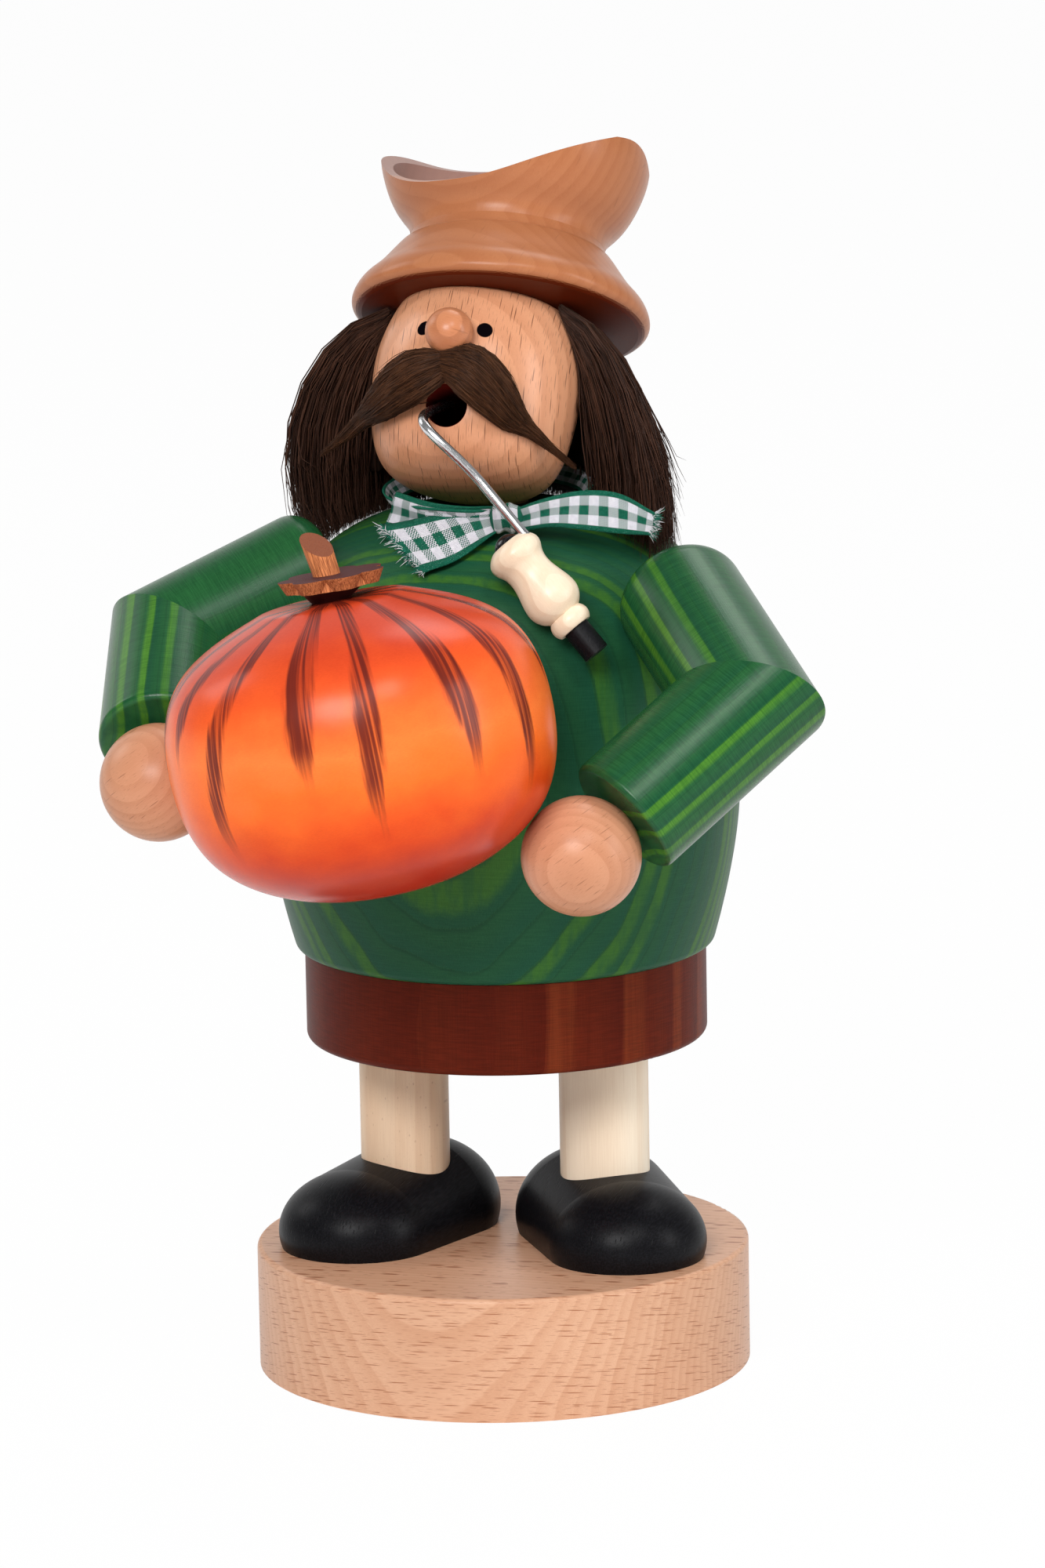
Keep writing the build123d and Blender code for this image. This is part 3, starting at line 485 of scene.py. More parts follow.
# each painted streak: turn in degrees at its top and at its end, height of its end and half width in mm
STREAKS = ((-120, -137, 3, 1.7), (-103, -120, -11, 2.3), (-82, -86, -2, 2.8), (-61, -67, -11, 2.2),
           (-41, -34, -6, 2.5), (-18, -11, -10, 2.4), (2, 14, 3, 1.8), (30, 44, -8, 2.2), (56, 66, -3, 2.4),
           (84, 92, -11, 2.2), (108, 117, -4, 2.0), (134, 140, -9, 2.4), (158, 163, -1, 2.2),
           (-140, -160, -8, 2.2))


def pumpkin_finish():
    """Orange lacquer, redder towards the ends, with brushed dark streaks that run down from the stem."""
    f = Finish("pumpkin_lacquer", rough=0.27, gloss=0.17)
    parts = f.local(PUMPKIN_AT, PUMPKIN_AXIS, (1.0, 0.0, 0.2))
    ahead, aside, up = parts
    reach = f.vector("LENGTH", f.join(ahead, aside, 0.0))
    turn = f.times(f.math("ARCTAN2", aside, ahead), 180.0 / math.pi)
    mottle = f.noise(f.scaled(parts, 10.0, 10.0, 8.0), detail=3.0)
    level = f.plus(up, f.times(f.minus(mottle, 0.5), 12.0))
    color = f.ramp(f.span(level, -PUMPKIN_HALF, PUMPKIN_HALF), *PUMPKIN_TINTS)
    fine = f.noise(f.scaled(parts, 0.5, 0.5, 0.13))
    color = f.mix(0.35, color, f.ramp(fine, (0.3, (0.88, 0.8, 0.8)), (0.7, (1.08, 1.16, 1.1))), "MULTIPLY")
    brushed = f.noise(f.join(f.times(turn, 0.3), f.times(up, 0.05), 0.0), detail=3.0, rough=0.65)
    brush = f.times(f.minus(brushed, 0.5), 3.6)
    hairs = f.noise(f.join(f.times(turn, 0.85), f.times(up, 0.045), 0.0))
    total = None
    for top, low, end, half in STREAKS:
        fall = f.over(f.minus(STREAK_TOP, up), STREAK_TOP - end)
        left = f.math("MAXIMUM", f.minus(1.0, fall), 0.0)
        middle = f.plus(f.times(f.math("POWER", left, 2.2), top - low), low)
        away = f.math("ABSOLUTE", f.math("WRAP", f.minus(turn, middle), 180.0, -180.0))
        away = f.times(away, f.times(reach, math.pi / 180.0))
        away = f.plus(away, brush)
        width = f.times(f.span(fall, 0.0, 0.4, 0.45, 1.0), half)
        width = f.times(f.span(fall, 1.05, 0.55, 0.3, 1.0), width)
        mask = f.times(f.span(f.over(away, width), 1.1, 0.55), f.span(fall, 1.06, 0.72))
        total = mask if total is None else f.math("MAXIMUM", total, mask)
    total = f.times(total, f.span(hairs, 0.34, 0.55, 0.4, 0.95))
    color = f.mix(total, color, f.mix(hairs, (0.24, 0.025, 0.01), (0.045, 0.006, 0.007)))
    f.set(color=color, normal=f.bump(fine, 0.012, 0.25))
    return f.material


finish(pumpkin_finish(), "pumpkin")


def stalk_finish(name, axis, origin, low):
    """Wood in a brown stain with a darker, purple cut face, and with painted shade on its underside where low
    is set.
    """
    f = Finish(name, rough=0.62, gloss=0.2)
    parts = f.local(origin, axis, FORWARD)
    fine = f.noise(f.scaled(parts, 0.2, 0.2, 3.0), detail=3.0, rough=0.7)
    color = f.mix(f.span(fine, 0.3, 0.7), (0.22, 0.05, 0.016), (0.78, 0.27, 0.095))
    up = f.vector("DOT_PRODUCT", f.surface("True Normal"), axis)
    rim = f.plus(up, f.times(f.minus(fine, 0.5), 0.25))
    top = f.mix(fine, (0.035, 0.007, 0.009), (0.11, 0.022, 0.02))
    color = f.mix(f.span(rim, 0.6, 0.8), color, top)
    if low:
        # painted shade on the underside, which faces down
        color = f.mix(f.span(up, -0.3, -0.7), color, (0.05, 0.008, 0.006))
    f.set(color=color, normal=f.bump(fine, 0.12, 0.6))
    return f.material


LEAF_AXIS = tuple(Vector((-0.158, 0.0, 1.0)).normalized())
STALK_AXIS = tuple(Vector((-0.34, 0.02, 1.0)).normalized())
finish(stalk_finish("leaf_brown", LEAF_AXIS, (-2.5, -66.4, 135.8), True), "pumpkin_leaf")
finish(stalk_finish("stem_brown", STALK_AXIS, (-3.1, -66.4, 139.7), False), "pumpkin_stem")


# Mesh helpers

def placed(name, data, material):
    """A smooth piece that shows a mesh and rides on the upper half."""
    data.polygons.foreach_set("use_smooth", np.ones(len(data.polygons), bool))
    data.materials.append(material)
    made = shown(name, data)
    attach(made, "upper")
    return made


def mesh_piece(name, points, faces, material):
    """A piece from points in mm and faces."""
    data = bpy.data.meshes.new(name)
    corners = [tuple(p) for p in np.asarray(points) * MM]
    data.from_pydata(corners, [], [tuple(int(i) for i in face) for face in faces])
    data.update()
    return placed(name, data, material)


def tube_faces(rows, around):
    """The faces of a tube of rows of points, closed at both ends."""
    faces = [(i * around + j, i * around + (j + 1) % around, (i + 1) * around + (j + 1) % around,
              (i + 1) * around + j) for i in range(rows - 1) for j in range(around)]
    faces.append(tuple(range(around - 1, -1, -1)))
    faces.append(tuple((rows - 1) * around + j for j in range(around)))
    return faces


# a strand's breadth along its length: places as shares, and shares of its full breadth
TAPER = ((0.0, 0.12, 0.6, 1.0), (0.7, 1.0, 0.85, 0.12))


def strands(name, lines, widths, material):
    """Tapered three-sided strands along centre lines, an array of strands x stations x 3 in mm."""
    count, stations, _ = lines.shape
    way = np.gradient(lines, axis=1)
    way /= np.linalg.norm(way, axis=2, keepdims=True) + TINY
    side = rng.normal(size=(count, 1, 3))
    first = np.cross(way, side)
    first /= np.linalg.norm(first, axis=2, keepdims=True) + TINY
    second = np.cross(way, first)
    taper = np.interp(np.linspace(0, 1, stations), *TAPER)
    radius = widths[:, None] * taper[None, :] / 2
    turns = np.arange(3) * 2 * math.pi / 3
    ring = (lines[:, :, None, :] + radius[:, :, None, None] * (
        np.cos(turns)[None, None, :, None] * first[:, :, None, :]
        + np.sin(turns)[None, None, :, None] * second[:, :, None, :]))
    points = ring.reshape(-1, 3)
    start = (np.arange(count) * stations * 3)[:, None, None]
    row = (np.arange(stations - 1) * 3)[None, :, None]
    here = np.arange(3)[None, None, :]
    after = (np.arange(3) + 1)[None, None, :] % 3
    quads = np.stack([start + row + here, start + row + after, start + row + 3 + after,
                      start + row + 3 + here], axis=-1).reshape(-1, 4)
    data = bpy.data.meshes.new(name)
    data.vertices.add(len(points))
    data.vertices.foreach_set("co", (points * MM).astype(np.float32).ravel())
    data.loops.add(quads.size)
    data.loops.foreach_set("vertex_index", quads.astype(np.int32).ravel())
    data.polygons.add(len(quads))
    data.polygons.foreach_set("loop_start", (np.arange(len(quads)) * 4).astype(np.int32))
    data.polygons.foreach_set("loop_total", np.full(len(quads), 4, np.int32))
    data.update(calc_edges=True)
    data.validate()
    return placed(name, data, material)


def bezier(points, steps):
    """Points along cubic Bezier curves: points is strands x 4 x 3."""
    t = np.linspace(0, 1, steps)[None, :, None]
    a, b, c, d = (points[:, k, None, :] for k in range(4))
    return (1 - t) ** 3 * a + 3 * (1 - t) ** 2 * t * b + 3 * (1 - t) * t ** 2 * c + t ** 3 * d


def smooth_line(stations, steps):
    """A Catmull-Rom line through stations, an array of n x m, sampled in steps."""
    stations = np.asarray(stations, float)
    padded = np.vstack([2 * stations[0] - stations[1], stations, 2 * stations[-1] - stations[-2]])
    out = []
    for place in np.linspace(0, len(stations) - 1, steps):
        k = min(int(place), len(stations) - 2)
        t = place - k
        p0, p1, p2, p3 = padded[k:k + 4]
        out.append(0.5 * (2 * p1 + (p2 - p0) * t + (2 * p0 - 5 * p1 + 4 * p2 - p3) * t ** 2
                          + (3 * p1 - p0 - 3 * p2 + p3) * t ** 3))
    return np.array(out)


# Fur

def fur_finish(name, dark, light):
    """Fur whose strands differ in tone, each by itself and in clumps."""
    f = Finish(name, rough=0.5, gloss=0.12)
    island = f.surface("Random Per Island")
    clump = f.noise(f.vector("MULTIPLY", f.here(), (500.0, 500.0, 90.0)))
    share = f.plus(f.times(island, 0.55), f.times(clump, 0.45))
    f.set(color=f.ramp(share, (0.15, dark), (0.75, light), (0.97, tuple(c * 1.7 for c in light))))
    return f.material


hair_finish = fur_finish("hair_fur", (0.012, 0.0045, 0.0028), (0.062, 0.026, 0.015))
lip_finish = fur_finish("moustache_fur", (0.018, 0.0062, 0.0026), (0.08, 0.031, 0.013))

# where the head is searched for the line that the hair starts from, in mm and degrees
HAIR_AT = np.array([0.3, -4.6])
ROOT_TURNS, ROOT_HEIGHTS = range(-6, 193, 3), np.arange(178.0, 150.0, -0.4)
ROOT_GAP, OUTSIDE = 1.0, 60.0


def brim_gap(points):
    """How far points lie under the plane of the hat's underside."""
    return -(points - np.array(HAT_AT)) @ np.array(HAT_AXIS)


def scalp():
    """For each turn round the head, the place where the fur strip starts under the brim, and how it faces."""
    found = []
    for turn in ROOT_TURNS:
        way = Vector((math.cos(math.radians(turn)), math.sin(math.radians(turn)), 0.0))
        for height in ROOT_HEIGHTS:
            start = Vector((*HAIR_AT, height)) * MM + way * OUTSIDE * MM
            spot, normal, _, _ = head_tree.ray_cast(start, -way)
            if spot is None:
                continue
            spot = np.array(spot) / MM
            if brim_gap(spot[None, :])[0] > ROOT_GAP:
                found.append((turn, *spot, *normal))
                break
    return np.array(found)


SCALP = scalp()
# reach from the figure's axis in mm, and the height of the jacket's top there
JACKET_TOP = np.array(((0.0, 141.0), (9.0, 141.0), (13.5, 140.4), (25.2, 136.2), (32.9, 128.0),
                       (36.9, 111.0)))
# by turn round the head: reach and height of the widest place, reach and height of the tips
OUTER = np.array(((0, 27.5, 152, 29.5, 131.5), (25, 29.0, 152, 30.5, 132.5), (60, 30.0, 151, 30.0, 136.5),
                  (90, 30.0, 149, 29.5, 137.0), (120, 30.5, 150, 30.0, 136.5), (150, 32.5, 152, 31.5, 134.5),
                  (170, 34.0, 153, 30.5, 132.5), (184, 34.5, 153, 28.0, 132.0)))
# each piece of hair: its first and last turn round the head, and its number of strands
HAIR = (("hair_left", -2, 46, 4200), ("hair_back_left", 40, 92, 3600),
        ("hair_back_right", 88, 140, 3600), ("hair_right", 134, 184, 4600))
INNER_STRANDS = 900
SHORT_SHARE = 0.16
# in mm: strands' widths, the innermost strands' reach, the brim's reach, and the gaps kept
HAIR_WIDTHS, LIP_WIDTHS, WISP_WIDTHS, THREAD_WIDTHS = (0.16, 0.34), (0.14, 0.28), (0.16, 0.26), (0.1, 0.2)
HAIR_NEAR, BRIM_REACH = 17.2, 24.6
BRIM_GAP, JACKET_GAP, HEAD_GAP = 0.5, 0.6, 0.4
# the underfur's outer, lower and inner side: reach next to the head, and height
UNDER_OUT, UNDER_LOW, UNDER_IN, UNDER_IN_UP = (17.0, 154.0), (17.4, 145.5), (16.9, 147.0), (16.9, 157.0)


def by_turn(table, turn, *columns):
    """Columns of a table that starts with turns, read at a turn or at each of some turns."""
    return np.stack([np.interp(turn, table[:, 0], table[:, k]) for k in columns], axis=-1)


def heading(turn):
    return np.stack([np.cos(np.radians(turn)), np.sin(np.radians(turn))], axis=-1)


def hair_lines(count, low, high, layer_low, layer_high, steps=8):
    """Strands from between two turns and two layers, from 0, the innermost, to 1."""
    turn = rng.uniform(low, high, count)
    layer = rng.uniform(layer_low, layer_high, count) ** 0.7
    root, face = by_turn(SCALP, turn, 1, 2, 3), by_turn(SCALP, turn, 4, 5, 6)
    down = rng.uniform(0.0, 1.0, count) * (1.0 - 0.75 * layer) * 7.0
    root = root + face * (0.4 + 1.2 * layer[:, None])
    root[:, 2] -= down
    outward = heading(turn)
    root[:, :2] += outward * (down * 0.25)[:, None]
    wide, wide_z, tip, tip_z = by_turn(OUTER, turn, 1, 2, 3, 4).T
    wide = HAIR_NEAR + (wide - HAIR_NEAR) * layer + rng.normal(0, 0.35, count)
    near = HAIR_NEAR - 0.5
    tip = near + (tip - near) * (0.12 + 0.88 * layer) + rng.normal(0, 0.8, count)
    tip_z = tip_z + (1 - layer) * 3.0 + np.abs(rng.normal(0, 2.2, count))
    short = rng.random(count) < SHORT_SHARE
    tip_z = np.where(short, tip_z + rng.uniform(4, 13, count), tip_z)
    tip = np.where(short, tip + rng.uniform(0.0, 2.4, count), tip)
    way = heading(turn + rng.normal(0, 4.0, count))
    bend = np.empty((count, 4, 3))
    bend[:, 0] = root
    bend[:, 1, :2] = HAIR_AT + outward * (HAIR_NEAR + (wide - HAIR_NEAR) * 0.72)[:, None]
    bend[:, 1, 2] = root[:, 2] - 3.5 - 3.0 * (1 - layer)
    bend[:, 2, :2] = HAIR_AT + (outward + way) / 2 * (wide * 1.07)[:, None]
    bend[:, 2, 2] = wide_z - 5.0
    bend[:, 3, :2] = HAIR_AT + way * tip[:, None]
    bend[:, 3, 2] = tip_z
    lines = bezier(bend, steps)
    lines += rng.normal(0, 0.25, (count, steps, 3)) * np.linspace(0, 1, steps)[None, :, None]
    return clear_of(lines)


def keep_outside(lines, tree, gap, reach=6.0):
    """Points keep a gap to a surface, where they come within a reach of it; both in mm."""
    flat = lines.reshape(-1, 3)
    for k in range(len(flat)):
        place = Vector(flat[k]) * MM
        spot, normal, _, _ = tree.find_nearest(place, reach * MM)
        if spot is not None and (place - spot).dot(normal) < gap * MM:
            flat[k] = np.array(spot + normal * gap * MM) / MM
    return flat.reshape(lines.shape)


def clear_of(lines):
    """Strands keep under the brim, over the jacket's shoulders and outside the head."""
    flat = lines.reshape(-1, 3)
    axis = np.array(HAT_AXIS)
    for _ in range(2):
        offset = flat - np.array(HAT_AT)
        across = np.linalg.norm(offset - (offset @ axis)[:, None] * axis, axis=1)
        push = np.where(across < BRIM_REACH, np.clip(BRIM_GAP - brim_gap(flat), 0, None), 0.0)
        flat -= push[:, None] * axis
    reach = np.linalg.norm(flat[:, :2] - np.array(FIGURE_AT), axis=1)
    flat[:, 2] = np.maximum(flat[:, 2], np.interp(reach, JACKET_TOP[:, 0], JACKET_TOP[:, 1]) + JACKET_GAP)
    return keep_outside(flat.reshape(lines.shape), head_tree, HEAD_GAP, 4.0)


def make_hair():
    for name, low, high, count in HAIR:
        lines = np.concatenate([hair_lines(count - INNER_STRANDS, low, high, 0.35, 1.0),
                                hair_lines(INNER_STRANDS, low, high, 0.0, 0.35)])
        strands(name, lines, rng.uniform(*HAIR_WIDTHS, len(lines)), hair_finish)
    under = hair_under()
    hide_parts("hair")


def under_place(way, near, height, wide=0.0, share=0.0):
    """A place of the underfur, a share of the way from its near reach to the hair's own."""
    return np.array([*(HAIR_AT + way * (near + (wide - near) * share)), height])


def hair_under():
    """The hide and underfur that the strands grow from: a closed strip behind the head, in a dark tone that
    is also painted shade for the depth of the fur.
    """
    loops = []
    for turn in np.linspace(6, 176, 60):
        root, face = by_turn(SCALP, turn, 1, 2, 3), by_turn(SCALP, turn, 4, 5, 6)
        wide = by_turn(OUTER, turn, 1)[0]
        way = heading(turn)
        thick = 0.25 + 0.3 * math.sin(math.pi * np.clip((turn - 4) / 172, 0, 1)) ** 0.3
        start = root + face * 0.6 - np.array([0, 0, 0.8])
        out = under_place(way, *UNDER_OUT, wide, thick)
        low = under_place(way, *UNDER_LOW, wide, thick * 0.8)
        inner, inner_up = under_place(way, *UNDER_IN), under_place(way, *UNDER_IN_UP)
        bulge = start * 0.45 + out * 0.55 + np.array([*(way * 1.4), 0.8])
        sag = (low + inner) / 2 - np.array([0, 0, 0.5])
        loops.append(smooth_line([start, bulge, out, low, sag, inner, inner_up, start], 24)[:-1])
    grid = clear_of(np.array(loops))
    f = Finish("underfur_and_shade", rough=0.8, gloss=0.1)
    fine = f.noise(f.vector("MULTIPLY", f.here(), (2600.0, 2600.0, 260.0)), detail=3.0)
    # near black: the underfur's own dark tone and painted shade in the depth of the fur
    f.set(color=f.mix(fine, (0.004, 0.002, 0.0015), (0.028, 0.014, 0.009)), normal=f.bump(fine, 0.3, 0.8))
    faces = tube_faces(*grid.shape[:2])
    return mesh_piece("hair_under", grid.reshape(-1, 3), faces, f.material)


# each lobe of the moustache: places along its middle in mm, with its half height and half depth there
LOBES = {
    "right": ((2.0, -23.6, 166.6, 2.3, 1.2), (-2.4, -24.6, 164.8, 4.1, 1.9), (-6.4, -24.2, 162.3, 3.9, 2.0),
              (-10.2, -22.2, 159.3, 2.7, 1.8), (-13.6, -19.6, 156.9, 1.5, 1.2),
              (-17.8, -17.2, 153.4, 0.8, 0.6), (-22.6, -15.6, 149.9, 0.25, 0.25)),
    "left": ((0.2, -23.6, 166.6, 2.3, 1.2), (4.9, -24.0, 165.7, 4.0, 1.9), (8.8, -23.2, 162.0, 3.7, 2.0),
             (11.3, -21.0, 157.9, 2.4, 1.6), (13.4, -18.9, 155.5, 1.1, 0.9), (15.9, -16.2, 152.4, 0.6, 0.5),
             (19.4, -14.0, 148.9, 0.25, 0.25))}
PATH_STEPS = 60
LOBE_STRANDS, WISP_STRANDS = 4600, 70


def lobe_lines(stations, count, steps=7):
    """Strands along a lobe, spread over its section."""
    path = smooth_line(stations, PATH_STEPS)
    middle, tall, deep = path[:, :3], path[:, 3], path[:, 4]
    way = np.gradient(middle, axis=0)
    way /= np.linalg.norm(way, axis=1, keepdims=True)
    out = middle - np.array(HEAD_AT)
    out -= (out * way).sum(1, keepdims=True) * way
    out /= np.linalg.norm(out, axis=1, keepdims=True)
    up = np.cross(way, out)
    start = rng.uniform(0.0, 0.42, count) ** 1.2
    reach = rng.uniform(0.22, 0.62, count)
    end = np.minimum(1.0, start + reach)
    end = np.where(rng.random(count) < 0.12, rng.uniform(0.85, 1.0, count), end)
    angle = rng.uniform(0, 2 * math.pi, count)
    size = np.sqrt(rng.uniform(0.15, 1.0, count))
    t = start[:, None] + (end - start)[:, None] * np.linspace(0, 1, steps)[None, :]
    index = t * (PATH_STEPS - 1)

    def at(values):
        return np.stack([np.interp(index, np.arange(PATH_STEPS), column) for column in values.T], axis=-1)

    centre, ups, outs = at(middle), at(up), at(out)
    tall, deep = at(tall[:, None])[..., 0], at(deep[:, None])[..., 0]
    spread = 1.0 + 0.1 * rng.normal(size=(count, 1)) * np.linspace(0, 1, steps)[None, :]
    high = np.sin(angle)[:, None] * size[:, None] * tall * spread
    depth = np.cos(angle)[:, None] * size[:, None] * deep * spread
    lines = centre + ups * high[..., None] + outs * depth[..., None]
    lines += rng.normal(0, 0.14, lines.shape) * np.linspace(0, 1, steps)[None, :, None]
    return lines


def make_moustache():
    """Two lobes of fur, each with a thin wisp of loose strands at its tip."""
    nose_tree = tree_of("nose")
    for side, stations in LOBES.items():
        lines = lobe_lines(stations, LOBE_STRANDS)
        lines = keep_outside(keep_outside(lines, head_tree, 0.35), nose_tree, 0.25)
        widths = rng.uniform(*LIP_WIDTHS, len(lines))
        made = strands(f"moustache_{side}", lines, widths, lip_finish)
        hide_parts("moustache")
        path = smooth_line([s[:3] for s in stations[3:]], 9)
        spread = rng.normal(0, 0.16, (WISP_STRANDS, 1, 3)) * np.linspace(1.6, 0.3, 9)[None, :, None]
        widths = rng.uniform(*WISP_WIDTHS, WISP_STRANDS)
        strands(f"moustache_wisp_{side}", path[None, :, :] + spread, widths, lip_finish)


# Ribbon, in mm: its checks' pitch, its breadth, its weave's pitch, and a unit of its texture places

CHECK, BROAD, WEAVE, CLOTH_UNIT = 3.1, 7.6, 0.42, 100.0
# where the middle stripe's and the edges' green changes, in mm from the ribbon's middle
STRIPE, SELVEDGE = (0.95, 0.88), (2.75, 2.85)


def gingham():
    """Green and white woven checks: warp along the ribbon, weft across it, and green selvedges."""
    f = Finish("gingham", rough=0.72, gloss=0.15)
    split = f.node("ShaderNodeSeparateXYZ")
    f.put(split.inputs[0], f.node("ShaderNodeUVMap", uv_map="cloth").outputs[0])
    along, across = (f.times(split.outputs[k], CLOTH_UNIT) for k in (0, 1))
    weft = f.math("FRACT", f.over(along, CHECK))
    weft_green = f.times(f.span(weft, 0.03, 0.06), f.span(weft, 0.55, 0.52))
    middle = f.math("ABSOLUTE", f.minus(across, BROAD / 2))
    edge = f.span(middle, *SELVEDGE)
    warp_green = f.math("MAXIMUM", f.span(middle, *STRIPE), edge)
    over = f.math("SINE", f.times(along, 2 * math.pi / WEAVE))
    under = f.math("SINE", f.times(across, 2 * math.pi / WEAVE))
    cross = f.times(over, under)
    pick = f.span(cross, -0.25, 0.25)
    woven = f.plus(f.times(weft_green, f.minus(1.0, pick)), f.times(warp_green, pick))
    share = f.math("MAXIMUM", woven, edge)
    fuzz = f.noise(f.join(f.times(along, 1.6), f.times(across, 1.6), 0.0), detail=3.0)
    white = f.mix(fuzz, (0.56, 0.55, 0.62), (0.92, 0.91, 0.95))
    green = f.mix(fuzz, (0.001, 0.055, 0.03), (0.01, 0.17, 0.1))
    color = f.mix(share, white, green)
    # painted glints: lighter spots on the green threads
    glint_noise = f.noise(f.join(f.times(along, 5.5), f.times(across, 5.5), 0.0), detail=1.0)
    glint = f.span(glint_noise, 0.62, 0.7)
    color = f.mix(f.times(glint, f.times(share, 0.4)), color, (0.2, 0.5, 0.4))
    f.set(color=color, normal=f.bump(f.math("ABSOLUTE", cross), 0.12, 0.7))
    return f.material


CLOTH = gingham()


def ribbon_strip(name, upper, lower, cloth_from, waves, steps=60, rows=14, thick=0.32, flip=-1.0):
    """A strip between two edges, with texture places; waves tells how far its cloth stands out."""
    top, bottom = smooth_line(upper, steps), smooth_line(lower, steps)
    along, across = np.linspace(0, 1, steps)[:, None], np.linspace(0, 1, rows)[None, :]
    grid = top[:, None, :] * (1 - across[..., None]) + bottom[:, None, :] * across[..., None]
    normal = np.cross(np.gradient(grid, axis=0), np.gradient(grid, axis=1))
    normal *= flip / (np.linalg.norm(normal, axis=2, keepdims=True) + TINY)
    grid = grid + normal * waves(along, across)[..., None]
    steps_run = np.linalg.norm(np.diff(grid.mean(1), axis=0), axis=1)
    run = np.concatenate([[0], np.cumsum(steps_run)]) + cloth_from
    points = np.concatenate([(grid + normal * side * thick / 2).reshape(-1, 3) for side in (1, -1)])
    half = steps * rows
    spots = np.arange(half).reshape(steps, rows)
    quads = np.stack([spots[:-1, :-1], spots[:-1, 1:], spots[1:, 1:], spots[1:, :-1]], axis=-1).reshape(-1, 4)
    rim = np.array([*spots[:, 0], *spots[-1, 1:], *spots[-2::-1, -1], *spots[0, -2:0:-1]])
    after = np.roll(rim, -1)
    walls = np.stack([rim, after, half + after, half + rim], axis=1)
    faces = np.concatenate([quads[:, ::-1], half + quads, walls[:, ::-1]])
    if flip < 0:
        faces = faces[:, ::-1]
    made = mesh_piece(name, points, faces, CLOTH)
    uv = made.data.uv_layers.new(name="cloth")
    places = np.stack(np.broadcast_arrays(run[:, None], BROAD * across), axis=-1).reshape(-1, 2) / CLOTH_UNIT
    loops = np.empty(len(made.data.loops), np.int32)
    made.data.loops.foreach_get("vertex_index", loops)
    uv.data.foreach_set("uv", np.concatenate([places] * 2)[loops].astype(np.float32).ravel())
    return made, grid


def frayed(name, edge, away, count, colors):
    """Loose thread ends along a cut edge."""
    place = rng.uniform(0, len(edge) - 1.001, count)
    low = place.astype(int)
    base = edge[low] + (edge[low + 1] - edge[low]) * (place - low)[:, None]
    length = rng.uniform(0.3, 1.5, count)[:, None]
    way = away[None, :] + rng.normal(0, 0.35, (count, 3))
    way /= np.linalg.norm(way, axis=1, keepdims=True)
    base = base - away[None, :] * 0.3
    curl = rng.normal(0, 0.22, (count, 3))
    ends = np.stack([base, base + way * length * 0.4, base + way * length * 0.8 + curl * length,
                     base + way * length + curl * 1.6 * length], axis=1)
    strands(name, bezier(ends, 5), rng.uniform(*THREAD_WIDTHS, count), colors)


def thread_finish():
    """Each thread green or white by itself."""
    f = Finish("ribbon_thread", rough=0.7, gloss=0.2)
    island = f.surface("Random Per Island")
    f.set(color=f.ramp(island, (0.0, (0.01, 0.13, 0.08)), (0.55, (0.02, 0.22, 0.14)),
                       (0.62, (0.7, 0.7, 0.72)), (1.0, (0.85, 0.85, 0.87)), kind="CONSTANT"))
    return f.material


# each end's upper and lower edge from the knot outwards, in mm from the figure's axis
TAIL_RIGHT = np.array(
    (((6.0, -18.6, 142.6), (7.2, -21.6, 139.4)), ((-0.3, -18.9, 141.9), (5.0, -24.8, 137.5)),
     ((-6.4, -19.2, 140.9), (1.6, -28.2, 135.4)), ((-13.3, -18.2, 139.4), (-2.2, -29.6, 133.9))))
TAIL_LEFT = np.array(
    (((9.8, -19.8, 143.0), (11.0, -21.0, 139.6)), ((15.4, -19.4, 145.0), (15.6, -20.4, 140.4)),
     ((20.6, -18.2, 146.0), (20.5, -19.4, 140.0)), ((26.0, -16.6, 145.4), (26.3, -17.8, 139.3)),
     ((31.0, -14.2, 142.2), (30.4, -15.4, 138.8))))
# the loop's edges: column and row of the photo where each place shows, and its y in mm
LOOP_TOP = ((632, 646, -19.6), (590, 647, -19.6), (546, 641, -18.8), (506, 627, -16.8))
LOOP_LOW = ((632, 668, -18.6), (590, 674, -18.2), (546, 680, -17.6), (492, 671, -16.6))


# the band's upper and lower edge round the neck: middle, half width, half depth and rise to the back, in mm
BAND_EDGES = (((1.3, -3.2, 144.2), (17.0, 16.8, 1.6)), ((1.3, -3.4, 141.6), (15.0, 14.8, 1.3)))


def make_band():
    """The band round the neck, laid in soft folds."""
    turn = np.radians(np.linspace(-70, 290, 90))
    round_neck = np.stack([np.cos(turn), np.sin(turn), np.sin(turn)], axis=1)
    edges = [np.array(middle) + np.array(half) * round_neck for middle, half in BAND_EDGES]
    band, _ = ribbon_strip("ribbon_band", *edges, 0.0, steps=150, rows=10, thick=0.3, flip=1.0,
                           waves=lambda u, v: 0.2 * np.sin(u * 70) * np.sin(v * math.pi))
    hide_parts("neck_ribbon")


def make_tail(side, edges, cloth_from, waves, loose, threads):
    """An end of the ribbon, with loose threads at its cut edge."""
    upper, lower = (edges[:, k] + np.array([*FIGURE_AT, 0.0]) for k in (0, 1))
    _, grid = ribbon_strip(f"ribbon_tail_{side}", upper, lower, cloth_from, waves)
    away = grid[-1].mean(0) - grid[-3].mean(0)
    frayed(f"ribbon_fray_{side}", grid[-1], away / np.linalg.norm(away), loose, threads)


def make_loop():
    """The bow's loop between the chin and the right tail, placed by sight at given depths."""
    edges = []
    for line in (LOOP_TOP, LOOP_LOW):
        ways = [(sight(column, row), depth * MM - CAMERA_AT.y) for column, row, depth in line]
        edges.append([tuple((CAMERA_AT + way * (gap / way.y)) / MM) for way, gap in ways])
    ribbon_strip("ribbon_loop", *edges, 0.6, steps=40, waves=lambda u, v: 0.25 * np.sin(v * 8 + u * 3))


